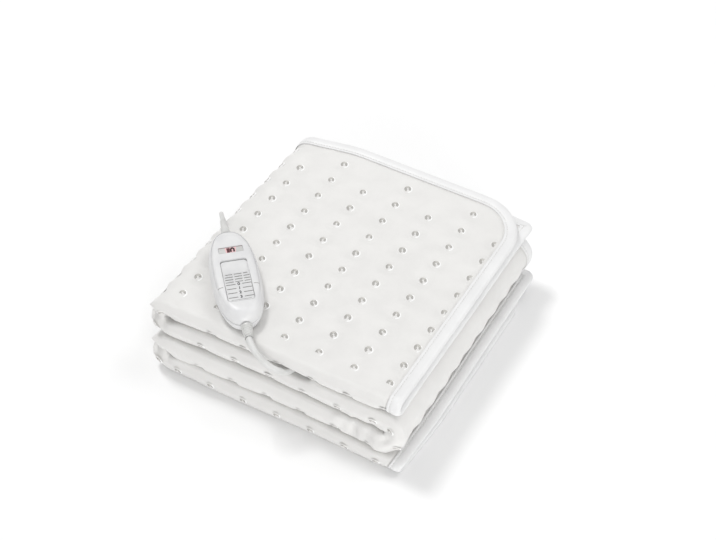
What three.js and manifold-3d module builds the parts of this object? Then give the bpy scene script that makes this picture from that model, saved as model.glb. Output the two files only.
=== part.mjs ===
// A heated underblanket folded into a pack, with its control and leads. Millimetres, +Z up.
// The pad is folded in half across its width, which makes the creases on the -Y face, and then
// back and forth in four along its length: top layer from +X to -X, and so on down to the floor.
import * as THREE from "three";
import Module from "manifold-3d";

const wasm = await Module();
wasm.setup();
const { Manifold, Mesh } = wasm;

// Pad: quilted cloth, its bound edge pressed thin.
const CLOTH = { thick: 9, edgeThick: 5 };
const BINDING = { width: 15, thick: 1, gap: 0.4, blend: 18 };
const QUILT = { pitchX: 48.6, pitchY: 32.7, pitchGrowth: 0.12, dimple: 2.6, firstRowY: -151, rows: 10 };
const CORNER_RADIUS = { a: 68, b: 18 };

// Layers from the top down. x runs from start to finish, and columns stand at columnX plus whole
// pitches. levelA and levelB are the heights of the two sheets off the layer's middle in the flat,
// creaseA and creaseB at the crease. front and frontSlope place the crease, back the bound side.
const LAYERS = [
  { start: 167, finish: -155, columnX: -145, levelA: 10.25, levelB: -5.3,
    creaseA: 10.25, creaseB: -9.25, front: -181, frontSlope: 0, back: 191 },
  { start: -155, finish: 149, columnX: -108.5, levelA: 7, levelB: -8.6,
    creaseA: 9.75, creaseB: -9.75, front: -183.4, frontSlope: 0.012, back: 177 },
  { start: 149, finish: -155, columnX: -112.4, levelA: 7, levelB: -8.6,
    creaseA: 9.75, creaseB: -9.75, front: -188.6, frontSlope: 0.018, back: 174 },
  { start: -155, finish: 182.6, columnX: -143.5, levelA: 10.25, levelB: -5.3,
    creaseA: 10.25, creaseB: -9.25, front: -190.5, frontSlope: 0, back: 178 },
];
const LAYER_HEIGHT = 29.5;
const PACK_HEIGHT = LAYERS.length * LAYER_HEIGHT;
const FOLD_RADIUS = LAYER_HEIGHT / 2;
const FOLD = { outer: 9.75, inner: 5, reach: 40 };
const CREASE_REACH = 70;
const FREE_ENDS = { reach: 45, top: { a: 8.4, b: -7.7 }, bottom: { a: 10.25, b: -7.2 } };
const TOP_SIDE = { shortfall: 12, straightFrom: -80, straightTo: -175 };
const STEPS = { fold: 6, crease: 6, shortest: 5, besideBinding: 18 };
const HIDDEN_SHEET_ROWS = [0, 1, 2, 4, 6, 8, 9];

// Heights of the valleys between the layers at the front, at x = 0, and their fall per millimetre of x.
const VALLEYS = [
  { height: 28, fall: 0.027 },
  { height: 61.5, fall: 0.017 },
  { height: 91, fall: 0 },
];
const VALLEY_BLEND = { from: 60, over: 200 };
const WAVES = { depth: 1.1, length: 43, from: -182, reach: 40 };
// Hollows and lumps of the crumpled corner: place on the front face, size, and push along Y.
const CRUMPLES = [
  { x: 112, z: 50, wide: 17, high: 11, push: 6.5 },
  { x: 145, z: 41, wide: 12, high: 13, push: -3 },
  { x: 88, z: 54, wide: 8, high: 9, push: -1.5 },
];
// Corners pulled out or in by the folding: middle and reach of the pull, and how far it moves the cloth.
const PULLS = [
  { x: 172, y: 183, z: 103, wide: 24, deep: 26, high: 6, moveX: 7, moveY: 0 },
  { x: 190, y: -196, z: 6, wide: 55, deep: 70, high: 14, moveX: -8, moveY: 1.5 },
];
// Room for the lead between the first and second layers.
const LEAD_TUNNEL = { x: 23, wide: 24, front: 4.8, inside: 2.4, from: -165, to: -85, fade: 40, reach: 26 };

const CONTROL = { x: -99, y: -111.3, z: 118.6, turn: -48.3, halfLength: 78.8, halfWidth: 31.1,
  squareness: 2.46, height: 30, sides: 32 };
// Outlines of the control's shells from the bottom up: how far in from the full oval at its sides and
// at its ends, and how high.
const LOWER_SHELL = [
  { side: 12, end: 12, height: 0 },
  { side: 5, end: 5, height: 1.6 },
  { side: 1.4, end: 1.4, height: 6 },
  { side: 0, end: 0, height: 14 },
];
const UPPER_SHELL = [
  { side: 0.7, end: 0.7, height: 14.3 },
  { side: 1.2, end: 2.2, height: 19.8 },
  { side: 2.8, end: 6, height: 25 },
  { side: 5.4, end: 11, height: 28.4 },
  { side: 8.8, end: 17, height: 30 },
];
const RECESS = { from: -19.5, to: 51.8, halfWidth: 17, corner: 4.6, depth: 2.6 };
const SLOT = { from: 11.8, to: 49.8, halfWidth: 3, depth: 5 };
const SLIDER = { from: 4, to: 51.5, halfWidth: 16.6, corner: 4.2, thick: 2.4, footFrom: 35.2,
  footTo: 49.2, footHalf: 2.6, footDepth: 4, join: 0.5 };
// Ridges of the slider's grip, in three columns across it.
const RIDGES = { rows: 4, from: 4.5, pitch: 4.3, width: 1.7, height: 0.7,
  columns: [{ from: -14.4, to: -4.6 }, { from: -3, to: 6.6 }, { from: 8.2, to: 14.6 }] };
const CORNER_POINTS = 4;
const WINDOW = { from: -41.5, to: -31, halfWidth: 15.5, depth: 1.8, clearance: 0.3, sunk: 0.2 };

// Leads, with their strain reliefs at the control.
const CONTROL_LEAD_HEIGHT = 13;
const FACE_GAP = 0.3;
const CLOTH_RELIEF = { length: 20, wide: 7.2, narrow: 5.2, ribs: 3, ribDepth: 1, sides: 12 };
const RIB_SHAPE = { crest: 0.62, valleyFrom: 0.68, valleyTo: 0.94 };
const MAINS_RELIEF = { length: 27, wide: 5.6, narrow: 3.9, sides: 12 };
const CLOTH_LEAD = { diameter: 8.5, sides: 10, steps: 26 };
const MAINS_LEAD = { diameter: 6, sides: 8, steps: 44 };
// From the control's lower end over the front crease and in between the first two layers: x, y, z.
const CLOTH_LEAD_ROUTE = [
  [-32.9, -185.5, 131.6],
  [-31.3, -187.3, 131.6],
  [-27.4, -191.0, 131.0],
  [-23.2, -193.7, 129.1],
  [-19.0, -195.3, 126.2],
  [-15.1, -195.7, 122.5],
  [-8.6, -195.0, 114.9],
  [-1.6, -193.2, 107.0],
  [7.0, -189.6, 100.4],
  [13.2, -183.8, 94.8],
  [17.6, -175.5, 91.6],
  [20.6, -163.0, 91.6],
  [22.6, -148.0, 92.2],
  [23.2, -130.0, 92.4],
  [23.2, -112.0, 92.4],
];
// From the control's upper end over the left edge, down to the floor and round to the back.
const MAINS_LEAD_ROUTE = [
  [-169.8, -31.9, 131.6],
  [-171.4, -30.1, 131.6],
  [-176.0, -24.9, 130.7],
  [-180.1, -19.8, 128.2],
  [-183.6, -15.3, 124.0],
  [-186.3, -11.7, 118.7],
  [-190.2, -5.2, 106.4],
  [-192.7, 1.6, 91.0],
  [-193.7, 8.8, 73.0],
  [-193.8, 16.8, 53.0],
  [-193.9, 26.0, 32.0],
  [-194.2, 38.4, 14.0],
  [-194.6, 58.0, 5.0],
  [-195.2, 82.0, 3.4],
  [-195.6, 110.0, 3.2],
  [-195.6, 140.0, 3.2],
  [-195.4, 166.0, 3.2],
  [-192.8, 184.2, 3.2],
  [-185.8, 194.6, 3.2],
  [-175.4, 201.6, 3.2],
  [-162.0, 204.0, 3.3],
  [-140.0, 204.0, 3.6],
  [-118.4, 204.0, 4.0],
];
// From the hank to the plug.
const TAIL_ROUTE = [
  [-21.6, 204.0, 22.0],
  [-10.0, 204.0, 20.4],
  [4.0, 204.0, 15.4],
  [18.0, 204.0, 9.6],
  [30.0, 204.0, 7.3],
  [39.7, 204.0, 7.1],
];
const TAIL_STEPS = 8;

// The hank of the unseen length lies flat behind the pack, its runs along X, with the plug beside it.
// It is wound two turns to a layer and four layers high, and lies on the tie round its middle.
const REST_GAP = 0.1;
const HANK = { x: -70, y: 228, length: 116.4, width: 54.4, hole: 29.8, height: 25.2, bevel: 1.6,
  arcSteps: 10 };
const PLUG = { x: 58, y: 204, length: 36, width: 25, height: 14, neck: 9, neckLength: 12, sides: 16,
  pinRadius: 2, pinLength: 19, pinGap: 18.6, pinTip: 1.5, pinSides: 10 };

const clamp01 = (value) => Math.min(1, Math.max(0, value));
const mix = (a, b, share) => a + (b - a) * share;
const smooth = (value) => {
  const t = clamp01(value);
  return t * t * (3 - 2 * t);
};
const bell = (value) => Math.exp(-value * value);

// Solids

function toManifold(geometry) {
  const plain = geometry.index ? geometry.toNonIndexed() : geometry;
  const position = plain.getAttribute("position");
  const keys = new Map();
  const points = [];
  const faces = [];
  for (let i = 0; i < position.count; i++) {
    const p = [position.getX(i), position.getY(i), position.getZ(i)];
    const key = p.map((value) => Math.round(value * 1e4)).join();
    if (!keys.has(key)) {
      keys.set(key, points.length / 3);
      points.push(...p);
    }
    faces.push(keys.get(key));
  }
  const kept = [];
  for (let i = 0; i < faces.length; i += 3) {
    const [a, b, c] = faces.slice(i, i + 3);
    if (a !== b && b !== c && a !== c) kept.push(a, b, c);
  }
  const mesh = new Mesh({
    numProp: 3, vertProperties: new Float32Array(points), triVerts: new Uint32Array(kept) });
  return new Manifold(mesh);
}

function fromManifold(solid) {
  const mesh = solid.getMesh();
  const geometry = new THREE.BufferGeometry();
  geometry.setAttribute("position", new THREE.BufferAttribute(mesh.vertProperties, 3));
  geometry.setIndex(new THREE.BufferAttribute(mesh.triVerts, 1));
  return geometry;
}

function box(x0, x1, y0, y1, z0, z1) {
  return Manifold.cube([x1 - x0, y1 - y0, z1 - z0]).translate([x0, y0, z0]);
}

function meshOf(points, faces) {
  const geometry = new THREE.BufferGeometry();
  geometry.setAttribute("position", new THREE.Float32BufferAttribute(points.flat(), 3));
  geometry.setIndex(faces.flat());
  return geometry;
}

// A stack of rings of points with the same count, closed by a fan at each end.
function ringStack(rings) {
  const count = rings[0].length;
  const points = rings.flat();
  const faces = [];
  for (let r = 0; r + 1 < rings.length; r++) {
    for (let i = 0; i < count; i++) {
      const a = r * count + i;
      const b = r * count + ((i + 1) % count);
      faces.push([a, b, b + count], [a, b + count, a + count]);
    }
  }
  const middle = (ring) => ring.reduce((sum, p) => sum.map((v, k) => v + p[k] / count), [0, 0, 0]);
  const bottom = points.push(middle(rings[0])) - 1;
  const top = points.push(middle(rings[rings.length - 1])) - 1;
  const last = (rings.length - 1) * count;
  for (let i = 0; i < count; i++) {
    const next = (i + 1) % count;
    faces.push([bottom, next, i], [top, last + i, last + next]);
  }
  return meshOf(points, faces);
}

// The fold path in the XZ plane

const rowY = (row) => QUILT.firstRowY + QUILT.pitchY * row + QUILT.pitchGrowth * row * row;

function makePath() {
  const pieces = [];
  let s = 0;
  LAYERS.forEach((layer, index) => {
    const height = PACK_HEIGHT - LAYER_HEIGHT * (index + 0.5);
    const length = Math.abs(layer.finish - layer.start);
    pieces.push({ kind: "flat", index, height, from: s, to: s + length });
    s += length;
    if (index + 1 < LAYERS.length) {
      const arc = Math.PI * FOLD_RADIUS;
      const side = layer.finish < layer.start ? -1 : 1;
      pieces.push({ kind: "fold", index, side, x: layer.finish,
        height: height - FOLD_RADIUS, from: s, to: s + arc });
      s += arc;
    }
  });
  return { pieces, length: s };
}

const PATH = makePath();

// Point, normal toward sheet a, layer shares and fold share at the length s along the path.
function pathAt(s) {
  const piece = PATH.pieces.find((p) => s <= p.to + 1e-9) || PATH.pieces[PATH.pieces.length - 1];
  const layer = LAYERS[piece.index];
  if (piece.kind === "flat") {
    const way = Math.sign(layer.finish - layer.start);
    const before = PATH.pieces.find((p) => p.kind === "fold" && p.index === piece.index - 1);
    const after = PATH.pieces.find((p) => p.kind === "fold" && p.index === piece.index);
    const nearBefore = before ? 1 - smooth((s - before.to) / FOLD.reach) : 0;
    const nearAfter = after ? 1 - smooth((after.from - s) / FOLD.reach) : 0;
    const fold = nearBefore > nearAfter ? before : after;
    return { x: layer.start + way * (s - piece.from), z: piece.height, nx: 0, nz: -way,
      index: piece.index, share: 0, folded: Math.max(nearBefore, nearAfter),
      side: fold ? fold.side : 0 };
  }
  const share = (s - piece.from) / (piece.to - piece.from);
  const angle = Math.PI / 2 - piece.side * share * Math.PI;
  const out = [Math.cos(angle), Math.sin(angle)];
  return { x: piece.x + FOLD_RADIUS * out[0], z: piece.height + FOLD_RADIUS * out[1],
    nx: -piece.side * out[0], nz: -piece.side * out[1],
    index: piece.index, share, folded: 1, side: piece.side };
}

function layerValue(at, read) {
  const next = LAYERS[Math.min(at.index + 1, LAYERS.length - 1)];
  return mix(read(LAYERS[at.index], at.x), read(next, at.x), at.share);
}

const frontOf = (at) => layerValue(at, (layer, x) => layer.front + layer.frontSlope * x);

function backOf(at) {
  return layerValue(at, (layer, x) => {
    if (layer !== LAYERS[0]) return layer.back;
    const share = (TOP_SIDE.straightFrom - x) / (TOP_SIDE.straightFrom - TOP_SIDE.straightTo);
    return layer.back - TOP_SIDE.shortfall * smooth(share);
  });
}

// Height of sheet a or b off the layer's middle, with the crease share from 0 in the flat to 1.
function levelOf(part, at, creaseShare, s) {
  const loose = part === "a" ? "levelA" : "levelB";
  const tight = part === "a" ? "creaseA" : "creaseB";
  const top = 1 - smooth(s / FREE_ENDS.reach);
  const bottom = 1 - smooth((PATH.length - s) / FREE_ENDS.reach);
  const open = mix(layerValue(at, (layer) => layer[loose]), FREE_ENDS.top[part], top);
  const flat = mix(open, FREE_ENDS.bottom[part], bottom);
  const level = mix(flat, layerValue(at, (layer) => layer[tight]), creaseShare);
  const isOuter = (part === "a") === at.side < 0;
  const atFold = (part === "a" ? 1 : -1) * (isOuter ? FOLD.outer : FOLD.inner);
  return mix(level, atFold, at.folded);
}

// The bound edge is pressed thin, so that the binding's face lies flush with the cloth's.
function edgeShift(distance) {
  const proud = BINDING.gap + BINDING.thick;
  const thinner = (CLOTH.thick - CLOTH.edgeThick) / 2 - proud;
  if (distance < BINDING.width) return mix(thinner, -proud, clamp01(distance / BINDING.width));
  return mix(-proud, 0, clamp01((distance - BINDING.width) / BINDING.blend));
}

const thicknessAt = (distance) =>
  mix(CLOTH.edgeThick, CLOTH.thick, clamp01(distance / BINDING.width));

// Moves a point of the corner's square onto its quarter disc, each smaller square onto a smaller arc.
function roundCorner(end, side, radius) {
  if (end >= radius || side >= radius) return { end, side, edge: Math.min(end, side) };
  const i = 1 - end / radius;
  const j = 1 - side / radius;
  const arc = Math.max(i, j);
  const shrink = arc / Math.hypot(i, j);
  return { end: radius * (1 - i * shrink), side: radius * (1 - j * shrink), edge: radius * (1 - arc) };
}

// Settling of the neat pack: uneven layers, waves in the creases, a crumpled corner and room for a lead.
function settle(x, y, z) {
  const frontShare = smooth((VALLEY_BLEND.from - y) / VALLEY_BLEND.over);
  const levels = [0];
  VALLEYS.forEach((valley, i) => {
    levels.push(mix(LAYER_HEIGHT * (i + 1), valley.height - valley.fall * x, frontShare));
  });
  levels.push(PACK_HEIGHT);
  const step = Math.min(LAYERS.length - 1, Math.max(0, Math.floor(z / LAYER_HEIGHT)));
  let height = mix(levels[step], levels[step + 1], z / LAYER_HEIGHT - step);

  const middle = LAYER_HEIGHT * (LAYERS.length - 1);
  const inward = smooth((y - LEAD_TUNNEL.from) / (LEAD_TUNNEL.to - LEAD_TUNNEL.from));
  const past = 1 - smooth((y - LEAD_TUNNEL.to) / LEAD_TUNNEL.fade);
  const room = mix(LEAD_TUNNEL.front, LEAD_TUNNEL.inside, inward) * past;
  const fade = Math.max(0, 1 - Math.abs(z - middle) / LEAD_TUNNEL.reach);
  const lift = room * bell((x - LEAD_TUNNEL.x) / LEAD_TUNNEL.wide) * fade;
  height += z > middle ? lift : -lift;

  const nearFront = 1 - smooth((y - WAVES.from) / WAVES.reach);
  let push = WAVES.depth * Math.sin(x / WAVES.length + z / LAYER_HEIGHT);
  CRUMPLES.forEach((dent) => {
    push += dent.push * bell((x - dent.x) / dent.wide) * bell((z - dent.z) / dent.high);
  });

  let pulledX = x;
  let pulledY = y + push * nearFront;
  PULLS.forEach((pull) => {
    const share = bell((x - pull.x) / pull.wide) * bell((y - pull.y) / pull.deep)
      * bell((height - pull.z) / pull.high);
    pulledX += pull.moveX * share;
    pulledY += pull.moveY * share;
  });
  return [pulledX, pulledY, height];
}

// One point of the cloth. place is { part: "a" | "b", y } or { part, inset } from the bound side, or
// { part: "crease", angle }. face is 1 on the outer face and -1 on the inner, offset stands off it.
function clothPoint(s, place, face, offset = 0) {
  let length = s;
  let y = place.y;
  let distance = Math.min(s, PATH.length - s);
  const end = distance;
  if (place.part !== "crease") {
    const back = backOf(pathAt(s));
    const side = place.y === undefined ? place.inset : back - place.y;
    const rounded = roundCorner(end, side, CORNER_RADIUS[place.part]);
    y = back - rounded.side;
    distance = rounded.edge;
    length = s < PATH.length / 2 ? rounded.end : PATH.length - rounded.end;
  }
  const at = pathAt(length);
  const shift = edgeShift(distance);
  const half = thicknessAt(distance) / 2;
  const reach = face * (half + offset);
  const topLevel = levelOf("a", at, 1, length);
  const lowLevel = levelOf("b", at, 1, length);
  const radius = (topLevel - lowLevel) / 2;
  const creaseY = frontOf(at) + radius + CLOTH.thick / 2;
  let n;
  if (place.part === "crease") {
    const around = radius + shift + reach;
    n = (topLevel + lowLevel) / 2 + around * Math.sin(place.angle);
    y = creaseY - around * Math.cos(place.angle);
  } else {
    const sign = place.part === "a" ? 1 : -1;
    y = Math.max(y, creaseY);
    const creaseShare = 1 - smooth((y - creaseY) / CREASE_REACH);
    n = levelOf(place.part, at, creaseShare, length) + sign * (shift + reach);
  }
  return settle(at.x + at.nx * n, y, at.z + at.nz * n);
}

// Stations along the path, through every quilting column and halfway between.
function lengthStations() {
  const stations = [];
  PATH.pieces.forEach((piece) => {
    const span = piece.to - piece.from;
    if (piece.kind === "fold") {
      for (let i = 1; i < STEPS.fold; i++) {
        stations.push({ s: piece.from + (span * i) / STEPS.fold, column: null });
      }
      return;
    }
    const layer = LAYERS[piece.index];
    const way = Math.sign(layer.finish - layer.start);
    const half = QUILT.pitchX / 2;
    const isFirst = piece.index === 0;
    const isLast = piece.index === LAYERS.length - 1;
    const inside = [];
    const first = Math.ceil((Math.min(layer.start, layer.finish) - layer.columnX) / half);
    const last = Math.floor((Math.max(layer.start, layer.finish) - layer.columnX) / half);
    for (let k = first; k <= last; k++) {
      const s = piece.from + way * (layer.columnX + half * k - layer.start);
      const low = piece.from + (isFirst ? STEPS.besideBinding : STEPS.shortest);
      const high = piece.to - (isLast ? STEPS.besideBinding : STEPS.shortest);
      if (s > low && s < high) inside.push({ s, column: k % 2 === 0 ? k / 2 : null });
    }
    inside.sort((a, b) => a.s - b.s);
    stations.push({ s: piece.from, column: null });
    if (isFirst) stations.push({ s: BINDING.width, column: null });
    stations.push(...inside);
    if (isLast) stations.push({ s: piece.to - BINDING.width, column: null });
    stations.push({ s: piece.to, column: null });
  });
  return stations;
}

// Stations across the sheet, from the bound side of sheet b round the crease to that of sheet a.
function acrossStations() {
  const b = HIDDEN_SHEET_ROWS.map((row) => ({ part: "b", y: rowY(row) }));
  const a = [];
  for (let k = 0; k <= 2 * (QUILT.rows - 1); k++) {
    const row = k % 2 === 0 ? k / 2 : null;
    a.push({ part: "a", y: rowY(k / 2), row });
  }
  const crease = [];
  for (let i = 0; i <= STEPS.crease; i++) {
    crease.push({ part: "crease", angle: -Math.PI / 2 + (Math.PI * i) / STEPS.crease });
  }
  const edges = (part) => [{ part, inset: BINDING.width }, { part, inset: 0 }];
  return [...edges("b").reverse(), ...b.reverse(), ...crease, ...a, ...edges("a")];
}

const ALONG = lengthStations();
const ACROSS = acrossStations();

// Rows next to the bound side have a mark in every second column.
function isTuft(station, place) {
  if (station.column === null || place.part !== "a" || place.row == null) return false;
  const onLast = place.row === QUILT.rows - 1;
  return !onLast || Math.abs(station.column) % 2 === 1;
}

function makeBlanket() {
  const rows = ALONG.length;
  const columns = ACROSS.length;
  const points = [];
  ALONG.forEach((station) => {
    ACROSS.forEach((place) => {
      const dip = isTuft(station, place) ? QUILT.dimple : 0;
      points.push(clothPoint(station.s, place, 1, -dip));
    });
  });
  ALONG.forEach((station) => {
    ACROSS.forEach((place) => points.push(clothPoint(station.s, place, -1)));
  });
  const outer = (i, j) => i * columns + j;
  const inner = (i, j) => rows * columns + i * columns + j;
  const faces = [];
  const quad = (a, b, c, d) => faces.push([a, c, b], [a, d, c]);
  for (let i = 0; i + 1 < rows; i++) {
    for (let j = 0; j + 1 < columns; j++) {
      const low = isTuft(ALONG[i], ACROSS[j]) || isTuft(ALONG[i + 1], ACROSS[j + 1]);
      if (low) quad(outer(i, j + 1), outer(i, j), outer(i + 1, j), outer(i + 1, j + 1));
      else quad(outer(i, j), outer(i + 1, j), outer(i + 1, j + 1), outer(i, j + 1));
      quad(inner(i, j), inner(i, j + 1), inner(i + 1, j + 1), inner(i + 1, j));
    }
  }
  for (let i = 0; i + 1 < rows; i++) {
    const last = columns - 1;
    quad(outer(i, 0), inner(i, 0), inner(i + 1, 0), outer(i + 1, 0));
    quad(outer(i + 1, last), inner(i + 1, last), inner(i, last), outer(i, last));
  }
  for (let j = 0; j + 1 < columns; j++) {
    const last = rows - 1;
    quad(outer(0, j), outer(0, j + 1), inner(0, j + 1), inner(0, j));
    quad(inner(last, j), inner(last, j + 1), outer(last, j + 1), outer(last, j));
  }
  return meshOf(points, faces);
}

// The edge of the cloth as a closed walk: along sheet a's side, over the bottom end, back along
// sheet b's side and over the top end.
function edgeWalk() {
  const walk = [];
  const across = ACROSS.filter((place) => place.inset === undefined);
  const along = ALONG.slice(1, -1);
  const long = (part) => along.map((station) => ({ s: station.s, long: part }));
  const ends = (end) => across.map((place) => ({ end, place }));
  const toCorner = (part) => ({ part, inset: BINDING.width });
  walk.push({ end: "start", long: "a" }, ...long("a"), { end: "finish", long: "a" });
  walk.push({ end: "finish", place: toCorner("a") }, ...ends("finish").reverse());
  walk.push({ end: "finish", place: toCorner("b") }, { end: "finish", long: "b" });
  walk.push(...long("b").reverse(), { end: "start", long: "b" });
  walk.push({ end: "start", place: toCorner("b") }, ...ends("start"));
  walk.push({ end: "start", place: toCorner("a") });
  return walk;
}

// A point of the binding at the depth in from the edge, which is negative outside it.
function edgePoint(stop, depth, face, offset) {
  const part = stop.long || stop.place.part;
  const radius = CORNER_RADIUS[part] || 0;
  const follow = (fixed) => (fixed < radius ? fixed + depth * (1 - fixed / radius) : fixed);
  let s = stop.s;
  if (stop.long && !stop.end) {
    const end = Math.min(s, PATH.length - s);
    s = s < PATH.length / 2 ? follow(end) : PATH.length - follow(end);
  }
  if (stop.end === "start") s = depth;
  if (stop.end === "finish") s = PATH.length - depth;
  if (stop.long) return clothPoint(s, { part, inset: depth }, face, offset);
  if (part === "crease") return clothPoint(s, stop.place, face, offset);
  const back = backOf(pathAt(s));
  const inset = stop.place.inset ?? back - stop.place.y;
  return clothPoint(s, { part, inset: follow(inset) }, face, offset);
}

function makeBinding() {
  const walk = edgeWalk();
  const near = BINDING.gap;
  const far = BINDING.gap + BINDING.thick;
  const section = [
    { depth: BINDING.width, face: 1, offset: far },
    { depth: -far, face: 1, offset: far },
    { depth: -far, face: -1, offset: far },
    { depth: BINDING.width, face: -1, offset: far },
    { depth: BINDING.width, face: -1, offset: near },
    { depth: -near, face: -1, offset: near },
    { depth: -near, face: 1, offset: near },
    { depth: BINDING.width, face: 1, offset: near },
  ];
  const points = [];
  walk.forEach((stop) => {
    section.forEach((p) => points.push(edgePoint(stop, p.depth, p.face, p.offset)));
  });
  const count = section.length;
  const faces = [];
  walk.forEach((_, k) => {
    const next = ((k + 1) % walk.length) * count;
    for (let i = 0; i < count; i++) {
      const j = (i + 1) % count;
      const here = k * count;
      faces.push([here + i, next + j, next + i], [here + i, here + j, next + j]);
    }
  });
  return meshOf(points, faces);
}

// The control, in its own frame: +X to the cloth lead, origin under its middle

// The control's outline is an oval with fuller corners than an ellipse.
function ovalRing({ side, end, height }) {
  const ring = [];
  const fuller = (value) => Math.sign(value) * Math.abs(value) ** (2 / CONTROL.squareness);
  for (let i = 0; i < CONTROL.sides; i++) {
    const angle = (2 * Math.PI * i) / CONTROL.sides;
    ring.push([(CONTROL.halfLength - end) * fuller(Math.cos(angle)),
      (CONTROL.halfWidth - side) * fuller(Math.sin(angle)), height]);
  }
  return ring;
}

// An upright block with rounded corners between two heights.
function roundedBlock({ from, to, halfWidth, corner }, low, high) {
  const ring = (height) => {
    const points = [];
    for (let i = 0; i < 4 * CORNER_POINTS; i++) {
      const quarter = Math.floor(i / CORNER_POINTS);
      const angle = ((quarter + (i % CORNER_POINTS) / (CORNER_POINTS - 1)) * Math.PI) / 2;
      const x = quarter === 0 || quarter === 3 ? to - corner : from + corner;
      const y = quarter < 2 ? halfWidth - corner : corner - halfWidth;
      points.push([x + corner * Math.cos(angle), y + corner * Math.sin(angle), height]);
    }
    return points;
  };
  return toManifold(ringStack([ring(low), ring(high)]));
}

function makeLowerShell() {
  return ringStack(LOWER_SHELL.map(ovalRing));
}

function makeUpperShell() {
  const top = CONTROL.height;
  const body = toManifold(ringStack(UPPER_SHELL.map(ovalRing)));
  const recess = roundedBlock(RECESS, top - RECESS.depth, top + 1);
  const slot = box(SLOT.from, SLOT.to, -SLOT.halfWidth, SLOT.halfWidth,
    top - RECESS.depth - SLOT.depth, top);
  const pane = box(WINDOW.from, WINDOW.to, -WINDOW.halfWidth, WINDOW.halfWidth,
    top - WINDOW.depth, top + 1);
  return fromManifold(body.subtract(recess).subtract(slot).subtract(pane));
}

function makeWindow() {
  const inset = WINDOW.clearance;
  return fromManifold(box(WINDOW.from + inset, WINDOW.to - inset,
    -WINDOW.halfWidth + inset, WINDOW.halfWidth - inset,
    CONTROL.height - WINDOW.depth + inset, CONTROL.height - WINDOW.sunk));
}

function makeSlider() {
  const floor = CONTROL.height - RECESS.depth + FACE_GAP;
  const face = floor + SLIDER.thick;
  let solid = roundedBlock(SLIDER, floor, face);
  for (let i = 0; i < RIDGES.rows; i++) {
    const x = RIDGES.from + RIDGES.pitch * i;
    RIDGES.columns.forEach((column) => {
      const ridge = box(x, x + RIDGES.width, column.from, column.to,
        face - SLIDER.join, face + RIDGES.height);
      solid = solid.add(ridge);
    });
  }
  const foot = box(SLIDER.footFrom, SLIDER.footTo, -SLIDER.footHalf, SLIDER.footHalf,
    floor - SLIDER.footDepth, floor + SLIDER.join);
  return fromManifold(solid.add(foot));
}

// A tapered sleeve along +X with raised ribs: profile rows of distance and radius.
function sleeve(profile, sides) {
  const rings = profile.map(([x, radius]) => {
    const ring = [];
    for (let i = 0; i < sides; i++) {
      const angle = (2 * Math.PI * i) / sides;
      ring.push([x, radius * Math.cos(angle), radius * Math.sin(angle)]);
    }
    return ring;
  });
  return ringStack(rings);
}

function ribbedSleeve(relief) {
  const profile = [];
  const pitch = relief.length / relief.ribs;
  for (let i = 0; i < relief.ribs; i++) {
    const radius = mix(relief.wide, relief.narrow, i / (relief.ribs - 1));
    const place = (share) => (i + share) * pitch;
    const valley = radius - relief.ribDepth;
    profile.push([place(0), radius], [place(RIB_SHAPE.crest), radius]);
    if (i + 1 < relief.ribs) {
      profile.push([place(RIB_SHAPE.valleyFrom), valley], [place(RIB_SHAPE.valleyTo), valley]);
    }
  }
  return sleeve(profile, relief.sides);
}

const toControlFrame = new THREE.Matrix4()
  .makeRotationZ(THREE.MathUtils.degToRad(CONTROL.turn))
  .setPosition(CONTROL.x, CONTROL.y, CONTROL.z);

function onControl(geometry, x = 0, turn = 0) {
  const local = new THREE.Matrix4().makeRotationZ(turn).setPosition(x, 0, 0);
  if (x !== 0) local.setPosition(x, 0, CONTROL_LEAD_HEIGHT);
  return geometry.applyMatrix4(local).applyMatrix4(toControlFrame);
}

// Leads

function tube(route, lead) {
  const shape = new THREE.Shape();
  for (let i = 0; i < lead.sides; i++) {
    const angle = (2 * Math.PI * (i + 0.5)) / lead.sides;
    const point = [(lead.diameter / 2) * Math.cos(angle), (lead.diameter / 2) * Math.sin(angle)];
    if (i === 0) shape.moveTo(...point);
    else shape.lineTo(...point);
  }
  shape.closePath();
  const stops = route.map((p) => new THREE.Vector3(...p));
  const curve = new THREE.CatmullRomCurve3(stops, false, "centripetal");
  return new THREE.ExtrudeGeometry(shape, { steps: lead.steps, extrudePath: curve, curveSegments: 1 });
}

function stadium(length, width) {
  const points = [];
  const radius = width / 2;
  const half = length / 2 - radius;
  for (let i = 0; i <= HANK.arcSteps; i++) {
    const angle = -Math.PI / 2 + (Math.PI * i) / HANK.arcSteps;
    points.push([half + radius * Math.cos(angle), radius * Math.sin(angle)]);
  }
  for (let i = 0; i <= HANK.arcSteps; i++) {
    const angle = Math.PI / 2 + (Math.PI * i) / HANK.arcSteps;
    points.push([-half + radius * Math.cos(angle), radius * Math.sin(angle)]);
  }
  return points;
}

function makeHank() {
  const { bevel } = HANK;
  const ring = (inset, z) => stadium(HANK.length - 2 * inset, HANK.width - 2 * inset)
    .map(([x, y]) => [HANK.x + x, HANK.y + y, z]);
  const body = toManifold(ringStack([ring(bevel, REST_GAP), ring(0, bevel),
    ring(0, HANK.height - bevel), ring(bevel, HANK.height)]));
  const inner = (z) => stadium(HANK.length - HANK.width + HANK.hole, HANK.hole)
    .map(([x, y]) => [HANK.x + x, HANK.y + y, z]);
  return fromManifold(body.subtract(toManifold(ringStack([inner(-1), inner(HANK.height + 1)]))));
}

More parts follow.
